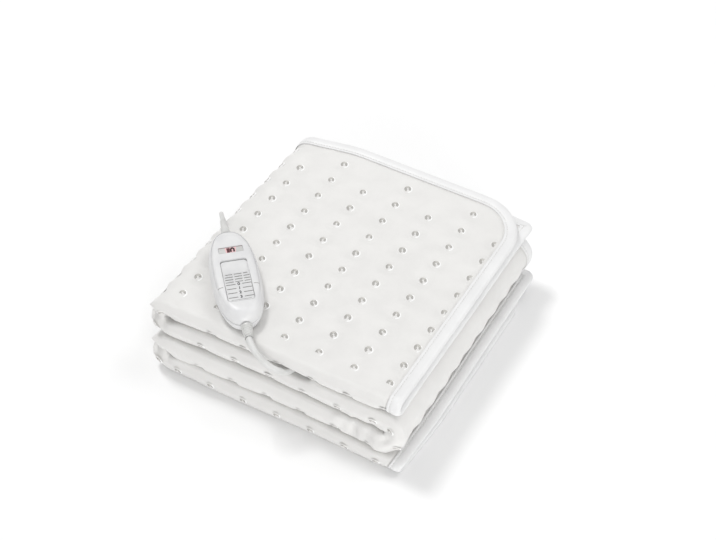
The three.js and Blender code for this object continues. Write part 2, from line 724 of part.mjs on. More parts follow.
function makePlugBody() {
  const half = PLUG.length / 2;
  const ring = (x, w, h) => {
    const points = [];
    for (let i = 0; i < PLUG.sides; i++) {
      const angle = (2 * Math.PI * (i + 0.5)) / PLUG.sides;
      const c = Math.cos(angle);
      const s = Math.sin(angle);
      const round = (value) => Math.sign(value) * Math.sqrt(Math.abs(value));
      points.push([x, (w / 2) * round(c), (h / 2) * round(s)]);
    }
    return points;
  };
  const body = ringStack([ring(-half, PLUG.neck, PLUG.neck),
    ring(-half + PLUG.neckLength, PLUG.width, PLUG.height), ring(half, PLUG.width, PLUG.height)]);
  const height = PLUG.height / 2 + REST_GAP;
  return body.applyMatrix4(new THREE.Matrix4().makeTranslation(PLUG.x, PLUG.y, height));
}

function makePlugPin(side) {
  const start = PLUG.length / 2 + FACE_GAP;
  const end = start + PLUG.pinLength;
  const pin = sleeve([[start, PLUG.pinRadius], [end - PLUG.pinTip, PLUG.pinRadius],
    [end, PLUG.pinRadius / 2]], PLUG.pinSides);
  const y = PLUG.y + (side * PLUG.pinGap) / 2;
  const height = PLUG.height / 2 + REST_GAP;
  return pin.applyMatrix4(new THREE.Matrix4().makeTranslation(PLUG.x, y, height));
}

const part = new THREE.Group();

function add(name, geometry) {
  const mesh = new THREE.Mesh(geometry);
  mesh.name = name;
  part.add(mesh);
}

add("blanket", makeBlanket());
add("edge_binding", makeBinding());
add("control_lower_shell", onControl(makeLowerShell()));
add("control_upper_shell", onControl(makeUpperShell()));
add("indicator_window", onControl(makeWindow()));
add("level_slider", onControl(makeSlider()));
add("cloth_lead_relief", onControl(ribbedSleeve(CLOTH_RELIEF), CONTROL.halfLength + FACE_GAP));
add("mains_lead_relief", onControl(
  sleeve([[0, MAINS_RELIEF.wide], [MAINS_RELIEF.length, MAINS_RELIEF.narrow]], MAINS_RELIEF.sides),
  -CONTROL.halfLength - FACE_GAP, Math.PI));
add("cloth_lead", tube(CLOTH_LEAD_ROUTE, CLOTH_LEAD));
add("mains_lead", tube(MAINS_LEAD_ROUTE, MAINS_LEAD));
add("mains_lead_hank", makeHank());
add("mains_lead_tail", tube(TAIL_ROUTE, { ...MAINS_LEAD, steps: TAIL_STEPS }));
add("mains_plug", makePlugBody());
add("plug_pin_left", makePlugPin(1));
add("plug_pin_right", makePlugPin(-1));

export default part;
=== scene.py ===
"""A heated underblanket folded into a pack, with its hand control, leads and plug, for Blender 4.5.

The quilted cloth is one back-and-forth sheet. Sizes in the tables are millimetres in the frame of
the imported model, and every object is made in metres. Each piece replaces the plain solid it dresses.
"""

import math

import bmesh
import bpy
import numpy as np
from mathutils import Matrix, Vector


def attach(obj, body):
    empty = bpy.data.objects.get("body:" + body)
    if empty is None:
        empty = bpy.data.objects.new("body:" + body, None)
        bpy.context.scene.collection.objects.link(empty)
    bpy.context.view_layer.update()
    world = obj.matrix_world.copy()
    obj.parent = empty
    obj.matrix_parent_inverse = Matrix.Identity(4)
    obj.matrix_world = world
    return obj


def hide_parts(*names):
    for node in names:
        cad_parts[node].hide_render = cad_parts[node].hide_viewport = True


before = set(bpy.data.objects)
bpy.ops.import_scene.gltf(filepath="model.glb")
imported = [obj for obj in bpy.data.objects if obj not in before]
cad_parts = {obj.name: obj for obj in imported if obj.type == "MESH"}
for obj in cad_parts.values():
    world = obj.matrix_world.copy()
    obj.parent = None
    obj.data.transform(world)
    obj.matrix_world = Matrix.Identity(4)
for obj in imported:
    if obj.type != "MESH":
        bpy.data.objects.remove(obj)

bl_info = {
    "name": "Folded Electric Underblanket",
    "version": (1, 0, 0),
    "blender": (4, 5, 0),
    "location": "View3D > Sidebar > Underblanket",
    "description": "Builds a folded heated underblanket with its hand control and leads",
    "category": "Add Mesh",
}

MM = 0.001
PACK = "folded_pack"
CONTROL_SWITCH = "slider"

# Camera: focal length in pixels of the photograph, and its place from the pattern of the quilting.
PHOTO_WIDTH = 716
FOCAL_PIXELS = 1600.0
SENSOR_WIDTH = 36.0
CAMERA_AZIMUTH = 29.553
CAMERA_ELEVATION = 46.292
CAMERA_ROLL = 0.067
CAMERA_OFFSET = (77.999, -57.909, 2233.927)
CAMERA_ORIGIN = (-145.0, 118.5, 0.0)

# Pad: cloth, binding, folded layers from the top down, as in the solid.
CLOTH_THICK, CLOTH_EDGE_THICK = 9.0, 5.0
BINDING_WIDTH, BINDING_THICK, BINDING_GAP, BINDING_BLEND = 15.0, 1.0, 0.4, 18.0
PITCH_X, PITCH_Y, PITCH_GROWTH, FIRST_ROW_Y, ROWS = 48.6, 32.7, 0.12, -151.0, 10
CORNER_RADIUS = {"a": 68.0, "b": 11.0}
LAYERS = (
    {"start": 167.0, "finish": -155.0, "column_x": -145.0, "level_a": 10.25, "level_b": -5.3,
     "crease_a": 10.25, "crease_b": -9.25, "front": -181.0, "slope": 0.0, "back": 191.0},
    {"start": -155.0, "finish": 149.0, "column_x": -108.5, "level_a": 7.0, "level_b": -8.6,
     "crease_a": 9.75, "crease_b": -9.75, "front": -183.4, "slope": 0.012, "back": 177.0},
    {"start": 149.0, "finish": -155.0, "column_x": -112.4, "level_a": 7.0, "level_b": -8.6,
     "crease_a": 9.75, "crease_b": -9.75, "front": -188.6, "slope": 0.018, "back": 174.0},
    {"start": -155.0, "finish": 182.6, "column_x": -143.5, "level_a": 10.25, "level_b": -5.3,
     "crease_a": 10.25, "crease_b": -9.25, "front": -190.5, "slope": 0.0, "back": 178.0},
)
LAYER_HEIGHT = 29.5
PACK_HEIGHT = LAYER_HEIGHT * len(LAYERS)
FOLD_RADIUS = LAYER_HEIGHT / 2
FOLD_OUTER, FOLD_INNER, FOLD_REACH = 9.75, 5.0, 40.0
CREASE_REACH = 70.0
FREE_REACH = 45.0
FREE_TOP = {"a": 8.4, "b": -7.7}
FREE_BOTTOM = {"a": 10.25, "b": -7.2}
TOP_SIDE = {"shortfall": 12.0, "straight_from": -80.0, "straight_to": -175.0}
VALLEYS = ((28.0, 0.027), (61.5, 0.017), (91.0, 0.0))
VALLEY_FROM, VALLEY_OVER = 60.0, 200.0
WAVES = {"depth": 1.1, "length": 43.0, "from": -182.0, "reach": 40.0}
# Crumpled corner: x, z, half width, half height and push along Y, for each hollow or lump.
CRUMPLES = (
    (108.0, 45.0, 16.0, 9.0, 5.5), (145.0, 41.0, 12.0, 13.0, -4.5), (88.0, 54.0, 8.0, 9.0, -2.5),
    (104.0, 57.0, 3.5, 12.0, -2.5), (121.0, 48.0, 3.0, 10.0, -2.5), (133.0, 52.0, 4.0, 7.0, 3.0),
    (93.0, 46.0, 3.0, 8.0, 2.0), (101.0, 43.0, 2.8, 7.0, -2.2), (109.0, 46.0, 2.8, 8.0, 2.4),
    (117.0, 44.0, 2.8, 8.0, -2.0), (152.0, 52.0, 5.0, 5.0, 4.0), (163.0, 38.0, 6.0, 9.0, 4.0),
    (150.0, 33.0, 5.0, 4.0, 2.0), (-182.0, 89.0, 12.0, 7.5, 18.0), (-179.0, 31.5, 13.0, 7.5, 18.0),
    (-160.0, 79.0, 4.0, 7.0, 2.5), (-171.0, 74.0, 4.0, 9.0, -1.8), (-158.0, 22.0, 4.0, 8.0, 2.5),
    (-170.0, 17.0, 4.0, 8.0, -1.8),
)
# Corners pulled out or in by the folding: middle, reach along each axis, and move along X and Y.
PULLS = (
    (172.0, 183.0, 103.0, 24.0, 26.0, 6.0, 7.0, 0.0),
    (190.0, -196.0, 6.0, 55.0, 70.0, 14.0, -8.0, 1.5),
)
# The folds of the left side stand out more towards the front.
LEFT_SIDE = {"out": 7.6, "back": 2.5, "from": -130.0, "over": 310.0, "reach": 60.0, "edge": -100.0,
             "upper": (95.0, 25.0, 1.0), "lower": (32.0, 22.0, 0.7)}
# The top's columns of marks lean to the left towards the front.
LEAN = {"most": 5.9, "from": 118.5, "over": 269.5, "limit": 1.2, "power": 1.7}
LEAD_TUNNEL = {"x": 23.0, "wide": 24.0, "front": 4.8, "inside": 2.4, "from": -165.0, "to": -85.0,
               "fade": 40.0, "reach": 26.0}

# Stands for the distance to the bound side where there is none, round the crease.
FAR_AWAY = 1e4

# Angle below the horizontal at which each layer's crease shows its row of marks.
CREASE_MARK_ANGLES = (36.0, 25.0, 40.0, 15.0)

# Control, in its own frame: +X to the cloth lead, origin under its middle.
CONTROL_PLACE = (-99.0, -111.3, 118.6)
CONTROL_TURN = -48.3
CONTROL_LENGTH, CONTROL_WIDTH, CONTROL_HEIGHT, CONTROL_SQUARENESS = 157.6, 62.2, 30.0, 2.46
RECESS = {"from": -19.5, "to": 51.8, "half": 17.0, "corner": 4.6, "depth": 2.6}
SLOT = {"from": 11.8, "to": 49.8, "half": 3.0, "depth": 5.0}
SLIDER = {"from": 4.0, "to": 51.5, "half": 16.6, "corner": 4.2, "thick": 2.4,
          "foot_from": 35.2, "foot_to": 49.2}
WINDOW = {"from": -41.5, "to": -31.0, "half": 15.5, "depth": 1.8}
LEAD_HEIGHT = 13.0
FACE_GAP = 0.3
SLEEVE_SIDES = 36

# Leads: x, y, z along each, as in the solids.
CLOTH_LEAD_DIAMETER = 8.5
CLOTH_LEAD_ROUTE = (
    (-32.9, -185.5, 131.6), (-31.3, -187.3, 131.6), (-27.4, -191.0, 131.0), (-23.2, -193.7, 129.1),
    (-19.0, -195.3, 126.2), (-15.1, -195.7, 122.5), (-8.6, -195.0, 114.9), (-1.6, -193.2, 107.0),
    (7.0, -189.6, 100.4), (13.2, -183.8, 94.8), (17.6, -175.5, 91.6), (20.6, -163.0, 91.6),
    (22.6, -148.0, 92.2), (23.2, -130.0, 92.4), (23.2, -112.0, 92.4),
)
MAINS_LEAD_DIAMETER = 6.0
MAINS_LEAD_ROUTE = (
    (-169.8, -31.9, 131.6), (-171.4, -30.1, 131.6), (-176.0, -24.9, 130.7), (-180.1, -19.8, 128.2),
    (-183.6, -15.3, 124.0), (-186.3, -11.7, 118.7), (-190.2, -5.2, 106.4), (-192.7, 1.6, 91.0),
    (-193.7, 8.8, 73.0), (-193.8, 16.8, 53.0), (-193.9, 26.0, 32.0), (-194.2, 38.4, 14.0),
    (-194.6, 58.0, 5.0), (-195.2, 82.0, 3.4), (-195.6, 110.0, 3.2), (-195.6, 140.0, 3.2),
    (-195.4, 166.0, 3.2), (-192.8, 184.2, 3.2), (-185.8, 194.6, 3.2), (-175.4, 201.6, 3.2),
    (-162.0, 204.0, 3.3), (-140.0, 204.0, 3.6), (-118.4, 204.0, 4.0),
)
TAIL_ROUTE = (
    (-21.6, 204.0, 22.0), (-10.0, 204.0, 20.4), (4.0, 204.0, 15.4), (18.0, 204.0, 9.6),
    (30.0, 204.0, 7.3), (39.7, 204.0, 7.1),
)
HANK = {"x": -70.0, "y": 228.0, "straight": 62.0, "inner": 18.0, "outer": 24.0, "layers": 4,
        "first": 4.0, "rise": 6.0}
PLUG = {"x": 58.0, "y": 204.0, "z": 7.1, "length": 36.0, "pin_gap": 18.6}


def linear_from_hex(code):
    """One sRGB hex colour as linear RGBA."""
    parts = [int(code[i : i + 2], 16) / 255 for i in (0, 2, 4)]
    linear = [p / 12.92 if p <= 0.04045 else ((p + 0.055) / 1.055) ** 2.4 for p in parts]
    return (*linear, 1.0)


# Small sums


def mix(a, b, share):
    return a + (b - a) * share


def smooth(value):
    t = np.clip(value, 0.0, 1.0)
    return t * t * (3 - 2 * t)


def bell(value):
    return np.exp(-np.square(value))


# The cloth's shape: the sheet is mapped from its flat cut to the folded pack


def make_fold_path():
    pieces = []
    s = 0.0
    for index, layer in enumerate(LAYERS):
        height = PACK_HEIGHT - LAYER_HEIGHT * (index + 0.5)
        length = abs(layer["finish"] - layer["start"])
        way = math.copysign(1, layer["finish"] - layer["start"])
        pieces.append({"flat": True, "index": index, "x": layer["start"], "way": way,
                       "z": height, "from": s, "to": s + length})
        s += length
        if index + 1 < len(LAYERS):
            arc = math.pi * FOLD_RADIUS
            pieces.append({"flat": False, "index": index, "x": layer["finish"], "way": way,
                           "z": height - FOLD_RADIUS, "from": s, "to": s + arc})
            s += arc
    return pieces, s


FOLD_PATH, FOLD_LENGTH = make_fold_path()


def fold_path_at(s):
    """Place, normal toward sheet a, layer shares and fold share at lengths s along the path."""
    at = {key: np.zeros_like(s) for key in ("x", "z", "nx", "nz", "share", "folded", "side")}
    at["index"] = np.zeros(s.shape, dtype=int)
    left = np.ones(s.shape, dtype=bool)
    for number, piece in enumerate(FOLD_PATH):
        is_last = number == len(FOLD_PATH) - 1
        here = left & ((s <= piece["to"] + 1e-9) | is_last)
        left &= ~here
        along = s[here] - piece["from"]
        at["index"][here] = piece["index"]
        if piece["flat"]:
            at["x"][here] = piece["x"] + piece["way"] * along
            at["z"][here] = piece["z"]
            at["nz"][here] = -piece["way"]
            before = 1 - smooth(along / FOLD_REACH) if number else np.zeros_like(along)
            after = np.zeros_like(along)
            if not is_last:
                after = 1 - smooth((piece["to"] - s[here]) / FOLD_REACH)
            at["folded"][here] = np.maximum(before, after)
            side_before = FOLD_PATH[number - 1]["way"] if number else 0
            at["side"][here] = np.where(before > after, side_before, 0 if is_last else piece["way"])
        else:
            share = along / (piece["to"] - piece["from"])
            angle = math.pi / 2 - piece["way"] * share * math.pi
            at["x"][here] = piece["x"] + FOLD_RADIUS * np.cos(angle)
            at["z"][here] = piece["z"] + FOLD_RADIUS * np.sin(angle)
            at["nx"][here] = -piece["way"] * np.cos(angle)
            at["nz"][here] = -piece["way"] * np.sin(angle)
            at["share"][here] = share
            at["folded"][here] = 1
            at["side"][here] = piece["way"]
    return at


def layer_value(at, read):
    """A value of the layers, blended over the folds. read takes a layer and its x."""
    values = np.stack([read(layer, at["x"]) + 0 * at["x"] for layer in LAYERS])
    here = np.take_along_axis(values, at["index"][None], 0)[0]
    after = np.minimum(at["index"] + 1, len(LAYERS) - 1)
    return mix(here, np.take_along_axis(values, after[None], 0)[0], at["share"])


def front_of(at):
    return layer_value(at, lambda layer, x: layer["front"] + layer["slope"] * x)


def back_of(at):
    def read(layer, x):
        if layer is not LAYERS[0]:
            return layer["back"]
        span = TOP_SIDE["straight_from"] - TOP_SIDE["straight_to"]
        share = (TOP_SIDE["straight_from"] - x) / span
        return layer["back"] - TOP_SIDE["shortfall"] * smooth(share)

    return layer_value(at, read)


def level_of(part, at, crease_share, s):
    """Height of sheet a or b off the layer's middle."""
    top = 1 - smooth(s / FREE_REACH)
    bottom = 1 - smooth((FOLD_LENGTH - s) / FREE_REACH)
    loose = layer_value(at, lambda layer, x: layer["level_" + part])
    flat = mix(mix(loose, FREE_TOP[part], top), FREE_BOTTOM[part], bottom)
    tight = layer_value(at, lambda layer, x: layer["crease_" + part])
    level = mix(flat, tight, crease_share)
    is_outer = (at["side"] < 0) == (part == "a")
    sign = 1 if part == "a" else -1
    at_fold = sign * np.where(is_outer, FOLD_OUTER, FOLD_INNER)
    return mix(level, at_fold, at["folded"])


def edge_shift(distance):
    """How far the bound edge is pressed in, so that the tape lies flush with the cloth."""
    proud = BINDING_GAP + BINDING_THICK
    thinner = (CLOTH_THICK - CLOTH_EDGE_THICK) / 2 - proud
    under = mix(thinner, -proud, np.clip(distance / BINDING_WIDTH, 0, 1))
    beside = mix(-proud, 0, np.clip((distance - BINDING_WIDTH) / BINDING_BLEND, 0, 1))
    return np.where(distance < BINDING_WIDTH, under, beside)


def round_corner(end, side, radius):
    """A point of the corner's square, moved onto its quarter disc."""
    square = (end < radius) & (side < radius)
    i = np.where(square, 1 - end / radius, 1.0)
    j = np.where(square, 1 - side / radius, 1.0)
    arc = np.maximum(i, j)
    shrink = arc / np.hypot(i, j)
    return (np.where(square, radius * (1 - i * shrink), end),
            np.where(square, radius * (1 - j * shrink), side),
            np.where(square, radius * (1 - arc), np.minimum(end, side)))


def settle(x, y, z):
    """The neat pack's uneven layers, waves, crumpled corner and room for the lead."""
    front_share = smooth((VALLEY_FROM - y) / VALLEY_OVER)
    levels = [np.zeros_like(x)]
    for i, (height, fall) in enumerate(VALLEYS):
        levels.append(mix(LAYER_HEIGHT * (i + 1), height - fall * x, front_share))
    levels.append(np.full_like(x, PACK_HEIGHT))
    levels = np.stack(levels)
    step = np.clip(np.floor(z / LAYER_HEIGHT), 0, len(LAYERS) - 1).astype(int)
    low = np.take_along_axis(levels, step[None], 0)[0]
    high = np.take_along_axis(levels, step[None] + 1, 0)[0]
    height = mix(low, high, z / LAYER_HEIGHT - step)

    middle = LAYER_HEIGHT * (len(LAYERS) - 1)
    tunnel = LEAD_TUNNEL
    inward = smooth((y - tunnel["from"]) / (tunnel["to"] - tunnel["from"]))
    past = 1 - smooth((y - tunnel["to"]) / tunnel["fade"])
    room = mix(tunnel["front"], tunnel["inside"], inward) * past
    fade = np.maximum(0, 1 - np.abs(z - middle) / tunnel["reach"])
    lift = room * bell((x - tunnel["x"]) / tunnel["wide"]) * fade
    height = height + np.where(z > middle, lift, -lift)

    near_front = 1 - smooth((y - WAVES["from"]) / WAVES["reach"])
    push = WAVES["depth"] * np.sin(x / WAVES["length"] + z / LAYER_HEIGHT)
    for cx, cz, wide, high_, deep in CRUMPLES:
        push = push + deep * bell((x - cx) / wide) * bell((z - cz) / high_)
    pulled_x = x + 0.0
    pulled_y = y + push * near_front
    for cx, cy, cz, wide, deep, high_, move_x, move_y in PULLS:
        share = bell((x - cx) / wide) * bell((y - cy) / deep) * bell((height - cz) / high_)
        pulled_x += move_x * share
        pulled_y += move_y * share
    side = LEFT_SIDE
    back_share = np.square(np.clip((y - side["from"]) / side["over"], 0, 1))
    out = (side["out"] * (1 - back_share) - side["back"]) * smooth((side["edge"] - x) / side["reach"])
    tall = sum(weight * bell((height - level) / reach) for level, reach, weight
               in (side["upper"], side["lower"]))
    return np.stack([pulled_x - out * tall, pulled_y, height], axis=-1)


def crease_frame(s):
    """Middle level, radius and Y of the crease's axis at lengths s."""
    at = fold_path_at(s)
    high = level_of("a", at, 1.0, s)
    low = level_of("b", at, 1.0, s)
    radius = (high - low) / 2
    return at, (high + low) / 2, radius, front_of(at) + radius + CLOTH_THICK / 2


def cloth_points(s, zone, across, face, offset=0.0):
    """Points at lengths s. zone is +1 or -1 on sheet a or b, with Y across, or 0 with an angle."""
    s, zone, across, offset = np.broadcast_arrays(s, zone, across, offset)
    s = s.astype(float)
    on_sheet = zone != 0
    back = back_of(fold_path_at(s))
    ends = np.minimum(s, FOLD_LENGTH - s)
    radius = np.where(zone > 0, CORNER_RADIUS["a"], CORNER_RADIUS["b"])
    end, side, edge = round_corner(ends, np.where(on_sheet, back - across, FAR_AWAY), radius)
    distance = np.where(on_sheet, edge, ends)
    end = np.where(on_sheet, end, ends)
    length = np.where(s < FOLD_LENGTH / 2, end, FOLD_LENGTH - end)

    at, middle, turn, crease_y = crease_frame(length)
    shift = edge_shift(distance)
    half = mix(CLOTH_EDGE_THICK, CLOTH_THICK, np.clip(distance / BINDING_WIDTH, 0, 1)) / 2
    reach = face * (half + offset)
    around = turn + shift + reach
    angle = np.where(on_sheet, 0.0, across)
    y = np.where(on_sheet, np.maximum(back - side, crease_y), crease_y - around * np.cos(angle))
    crease_share = 1 - smooth((y - crease_y) / CREASE_REACH)
    level = np.where(zone > 0, level_of("a", at, crease_share, length),
                     level_of("b", at, crease_share, length))
    n = np.where(on_sheet, level + zone * (shift + reach), middle + around * np.sin(angle))
    return settle(at["x"] + at["nx"] * n, y, at["z"] + at["nz"] * n)


# Across the sheet, u is the way round the outer face from the crease's middle, + toward sheet a.
# It is measured at the outer radius of the middle layers' crease.
CREASE_ROUND = (CLOTH_THICK + LAYERS[1]["crease_a"] - LAYERS[1]["crease_b"]) / 2
QUARTER = CREASE_ROUND * math.pi / 2


def place_of_way(s, u):
    """The zone and its Y or angle at lengths s and ways u."""
    crease_y = crease_frame(s)[3]
    on_crease = np.abs(u) <= QUARTER
    zone = np.where(on_crease, 0, np.sign(u)).astype(int)
    return zone, np.where(on_crease, u / CREASE_ROUND, crease_y + np.abs(u) - QUARTER)


def points_at_ways(s, u, face, offset=0.0):
    zone, across = place_of_way(np.asarray(s, dtype=float), np.asarray(u, dtype=float))
    return cloth_points(s, zone, across, face, offset)


def row_y(row):
    return FIRST_ROW_Y + PITCH_Y * row + PITCH_GROWTH * row * row


def lean_of(y):
    """How far a mark of the top stands left of its column."""
    share = np.clip((LEAN["from"] - y) / LEAN["over"], 0, LEAN["limit"])
    return LEAN["most"] * share ** LEAN["power"]


# Distances in from the cloth's edge at which the bound edge has its lines of points
EDGE_INSETS = (0.0, 2.5, 5.0, 8.0, 11.5, 14.2, 15.3, 16.4, 17.6, 19.2)
# Spacing of the lines of points: along the top layer, the folds and the other layers, and in
# degrees round the crease. Then lines to a row of marks, and past the last row, on sheets a and b.
TOP_STEP, FOLD_STEP, LAYER_STEP, CREASE_STEP = 3.0, 3.3, 4.4, 9
LINES_A, LINES_B = (10, 5), (2, 3)


def length_stations():
    stations = []
    for piece in FOLD_PATH:
        span = piece["to"] - piece["from"]
        is_top = piece["flat"] and piece["index"] == 0
        step = TOP_STEP if is_top else LAYER_STEP if piece["flat"] else FOLD_STEP
        count = max(2, round(span / step))
        stations.append(np.linspace(piece["from"], piece["to"], count, endpoint=False))
    stations = np.concatenate(stations + [[FOLD_LENGTH]])
    near = np.array(EDGE_INSETS[1:])
    inner = stations[(stations > near[-1] + 1) & (stations < FOLD_LENGTH - near[-1] - 1)]
    return np.concatenate([[0.0], near, inner, FOLD_LENGTH - near[::-1], [FOLD_LENGTH]])


def across_columns():
    """Columns from sheet b's bound side round the crease to sheet a's: zone and way to find Y."""
    last = float(row_y(ROWS - 1))

    def side(zone, per_row, last_steps):
        count = per_row * (ROWS - 1)
        rows = [(zone, "y", float(row_y(k / per_row))) for k in range(count + 1)]
        rows += [(zone, "share", k / last_steps) for k in range(1, last_steps)]
        return rows + [(zone, "inset", inset) for inset in reversed(EDGE_INSETS)]

    crease = [(0, "angle", math.radians(angle)) for angle in range(-90, 91, CREASE_STEP)]
    return last, [*reversed(side(-1, *LINES_B)), *crease, *side(1, *LINES_A)]


def across_values(s, last, columns):
    """Y or angle of every column at each length, in rows of s."""
    back = back_of(fold_path_at(s))
    values = []
    for _, kind, value in columns:
        if kind == "inset":
            values.append(back - value)
        elif kind == "share":
            values.append(mix(last, back - EDGE_INSETS[-1], value))
        else:
            values.append(np.full_like(s, value))
    return np.stack(values, axis=1)


# A column may stand this far past a layer's end, a mark keeps this far from the tape, and a fold
# has columns at these shares of its way round.
COLUMN_PAST, MARK_TO_TAPE, FOLD_COLUMNS = 2, 6, (0.27, 0.73)


def quilting_marks():
    """Length, way and share of depth of each mark: rows on the faces and one along each crease."""
    marks = []
    for number, piece in enumerate(FOLD_PATH):
        index = piece["index"]
        layer = LAYERS[index]
        if piece["flat"]:
            x0, x1 = sorted((layer["start"], layer["finish"]))
            first = math.ceil((x0 - layer["column_x"] - COLUMN_PAST) / PITCH_X)
            last = math.floor((x1 - layer["column_x"] + COLUMN_PAST) / PITCH_X)
            for k in range(first, last + 1):
                x = layer["column_x"] + PITCH_X * k
                s = piece["from"] + piece["way"] * (x - layer["start"])
                add_mark_column(marks, s, index, k, number)
        else:
            for share in FOLD_COLUMNS:
                s = mix(piece["from"], piece["to"], share)
                add_mark_column(marks, s, index + round(share), 1, number)
    return marks


def add_mark_column(marks, s, index, k, number):
    layer = LAYERS[index]
    at, _, _, crease_y = crease_frame(np.array([s]))
    back = float(back_of(at)[0])
    down = math.radians(CREASE_MARK_ANGLES[index])
    side = 1 if layer["finish"] < layer["start"] else -1
    is_first_column = index == 0 and k == 0
    if not is_first_column:
        marks.append((s, -side * down * CREASE_ROUND, CREASE_MARK_SHARE))
    # The right fold is pulled smooth and shows no marks on its round side.
    is_smooth = side < 0 and not FOLD_PATH[number]["flat"]
    flat_rows = 0 if is_smooth else ROWS if k % 2 else ROWS - 1
    for row in range(flat_rows):
        y = float(row_y(row))
        if y < back - BINDING_WIDTH - MARK_TO_TAPE:
            way = QUARTER + y - float(crease_y[0])
            marks.append((s + (float(lean_of(y)) if index == 0 else 0.0), way, 1.0))
            if not FOLD_PATH[number]["flat"]:
                marks.append((s, -way, 1.0))


# Radius of the dimple's flat floor, which the weld fills, and the reach past it in spreads
MARK_FLOOR, DIMPLE_TAIL = 4.6, 2.6
# The creases' marks: share of a dimple's depth, and the least share of its spread
CREASE_MARK_SHARE, LEAST_SPREAD = 0.3, 0.15
# The crease's fullness: height, and middle and width of the band in degrees
FULLNESS = {"high": 2.3, "at": 56.0, "over": 16.0}
# Cloth pressed into the folds' hollows: height, where it starts and is whole round the crease in
# degrees, how far it goes in past the crease, and how near to the left folds it ends
HOLLOW = {"high": 4.2, "from": 35, "over": 30, "in": 25, "side": 14}

# Placed creases and puffs of the top face and the front: length, way, turn, half sizes, height.
SOFT_FOLDS = (
    (150.0, 330.0, 62.0, 60.0, 9.0, -0.9),
    (60.0, 300.0, 118.0, 52.0, 10.0, 0.8),
    (255.0, 120.0, 30.0, 46.0, 10.0, -0.8),
    (95.0, 90.0, 150.0, 60.0, 12.0, 0.7),
    (210.0, 250.0, 95.0, 66.0, 12.0, 0.7),
    (30.0, 200.0, 80.0, 40.0, 10.0, -0.6),
    (318.0, 34.0, 65.0, 26.0, 4.0, -1.3),
    (330.0, 22.0, 40.0, 20.0, 3.6, 1.2),
    (306.0, 46.0, 20.0, 24.0, 5.0, -0.9),
    (345.0, 6.0, 100.0, 22.0, 3.2, -1.2),
    (358.0, -2.0, 80.0, 20.0, 3.2, -1.0),
    (392.0, 4.0, 15.0, 22.0, 4.0, -0.9),
)


def dimple(gap, spread):
    """Share of a dimple's depth at the distance from its mark: flat under the weld, then rising."""
    return np.exp(-np.square(np.maximum(gap - MARK_FLOOR, 0) / spread))


def soft_relief(s, ways):
    """Soft folds and puffs of the outer face, without the dimples.

    Under the placed folds lie two crossing ripples, whose lengths are in millimetres.
    """
    relief = (0.3 * np.sin(s / 17.0 + 1.7 * np.sin(ways / 41.0)) * np.sin(ways / 23.0 + s / 67.0)
              + 0.22 * np.sin(s / 9.3 + ways / 31.0) * np.sin(ways / 13.1 - s / 47.0))
    for fold_s, fold_u, turn, long, wide, height in SOFT_FOLDS:
        angle = math.radians(turn)
        along = (s - fold_s) * math.cos(angle) + (ways - fold_u) * math.sin(angle)
        aside = (ways - fold_u) * math.cos(angle) - (s - fold_s) * math.sin(angle)
        relief = relief + height * bell(along / long) * bell(aside / wide)
    return relief


def crease_filling(ways):
    """The creased front is fuller than round, so that its layers meet in narrow dark lines."""
    angle = np.degrees(np.abs(ways) / CREASE_ROUND)
    return FULLNESS["high"] * bell((angle - FULLNESS["at"]) / FULLNESS["over"])


def hollow_filling(s, ways):
    """The folds' hollows are closed at the front by cloth pressed in, but for the left ends."""
    at = fold_path_at(s)
    right = np.where(at["side"] > 0, at["folded"], 0)[:, None]
    left = np.where(at["side"] < 0, at["folded"], 0)
    left = left * smooth((at["x"] - LAYERS[0]["finish"]) / HOLLOW["side"])

    def pressed(way):
        begun = smooth((np.degrees(way / CREASE_ROUND) - HOLLOW["from"]) / HOLLOW["over"])
        return begun * (1 - smooth((way - QUARTER) / HOLLOW["in"]))

    return HOLLOW["high"] * (right * pressed(ways) + left[:, None] * pressed(-ways))


def surface_relief(s, ways, marks, depth, spread):
    """How far the outer face stands off the plain one: dimples, puffs between and soft folds."""
    lengths = np.broadcast_to(s[:, None], ways.shape)
    relief = soft_relief(lengths, ways) + crease_filling(ways) + hollow_filling(s, ways)
    dips = np.zeros_like(ways)
    drawn = np.zeros_like(ways)
    for mark_s, mark_u, share in marks:
        reach = spread * mix(LEAST_SPREAD, 1.0, share)
        rows = np.abs(s - mark_s) < MARK_FLOOR + DIMPLE_TAIL * reach
        if rows.any():
            gap = np.hypot(lengths[rows] - mark_s, ways[rows] - mark_u)
            here = dimple(gap, reach)
            drawn[rows] = np.maximum(drawn[rows], share * here)
            dips[rows] = np.maximum(dips[rows], here)
    return relief * (1 - dips) - depth * drawn


# Meshes


def mesh_object(name, points, faces, materials, smooth_angle=None, face_slots=None):
    """A mesh from points in millimetres, its faces turned outward."""
    mesh = bpy.data.meshes.new(name)
    mesh.from_pydata((np.asarray(points, dtype=float) * MM).tolist(), [], faces)
    for material in materials:
        mesh.materials.append(material)
    if face_slots is not None:
        mesh.polygons.foreach_set("material_index", face_slots)
    work = bmesh.new()
    work.from_mesh(mesh)
    bmesh.ops.recalc_face_normals(work, faces=work.faces)
    work.to_mesh(mesh)
    work.free()
    mesh.polygons.foreach_set("use_smooth", [True] * len(mesh.polygons))
    if smooth_angle is not None:
        mesh.set_sharp_from_angle(angle=math.radians(smooth_angle))
    mesh.update()
    piece = bpy.data.objects.new(name, mesh)
    bpy.context.scene.collection.objects.link(piece)
    return piece


def ring_faces(rings, count):
    """Quads between rings of count points, with a flat end face at each end."""
    faces = []
    for r in range(rings - 1):
        for i in range(count):
            j = (i + 1) % count
            faces.append((r * count + i, r * count + j, (r + 1) * count + j, (r + 1) * count + i))
    faces.append(tuple(reversed(range(count))))
    faces.append(tuple((rings - 1) * count + i for i in range(count)))
    return faces


def ring_angles(sides, shift=0.0):
    return [2 * math.pi * (i + shift) / sides for i in range(sides)]


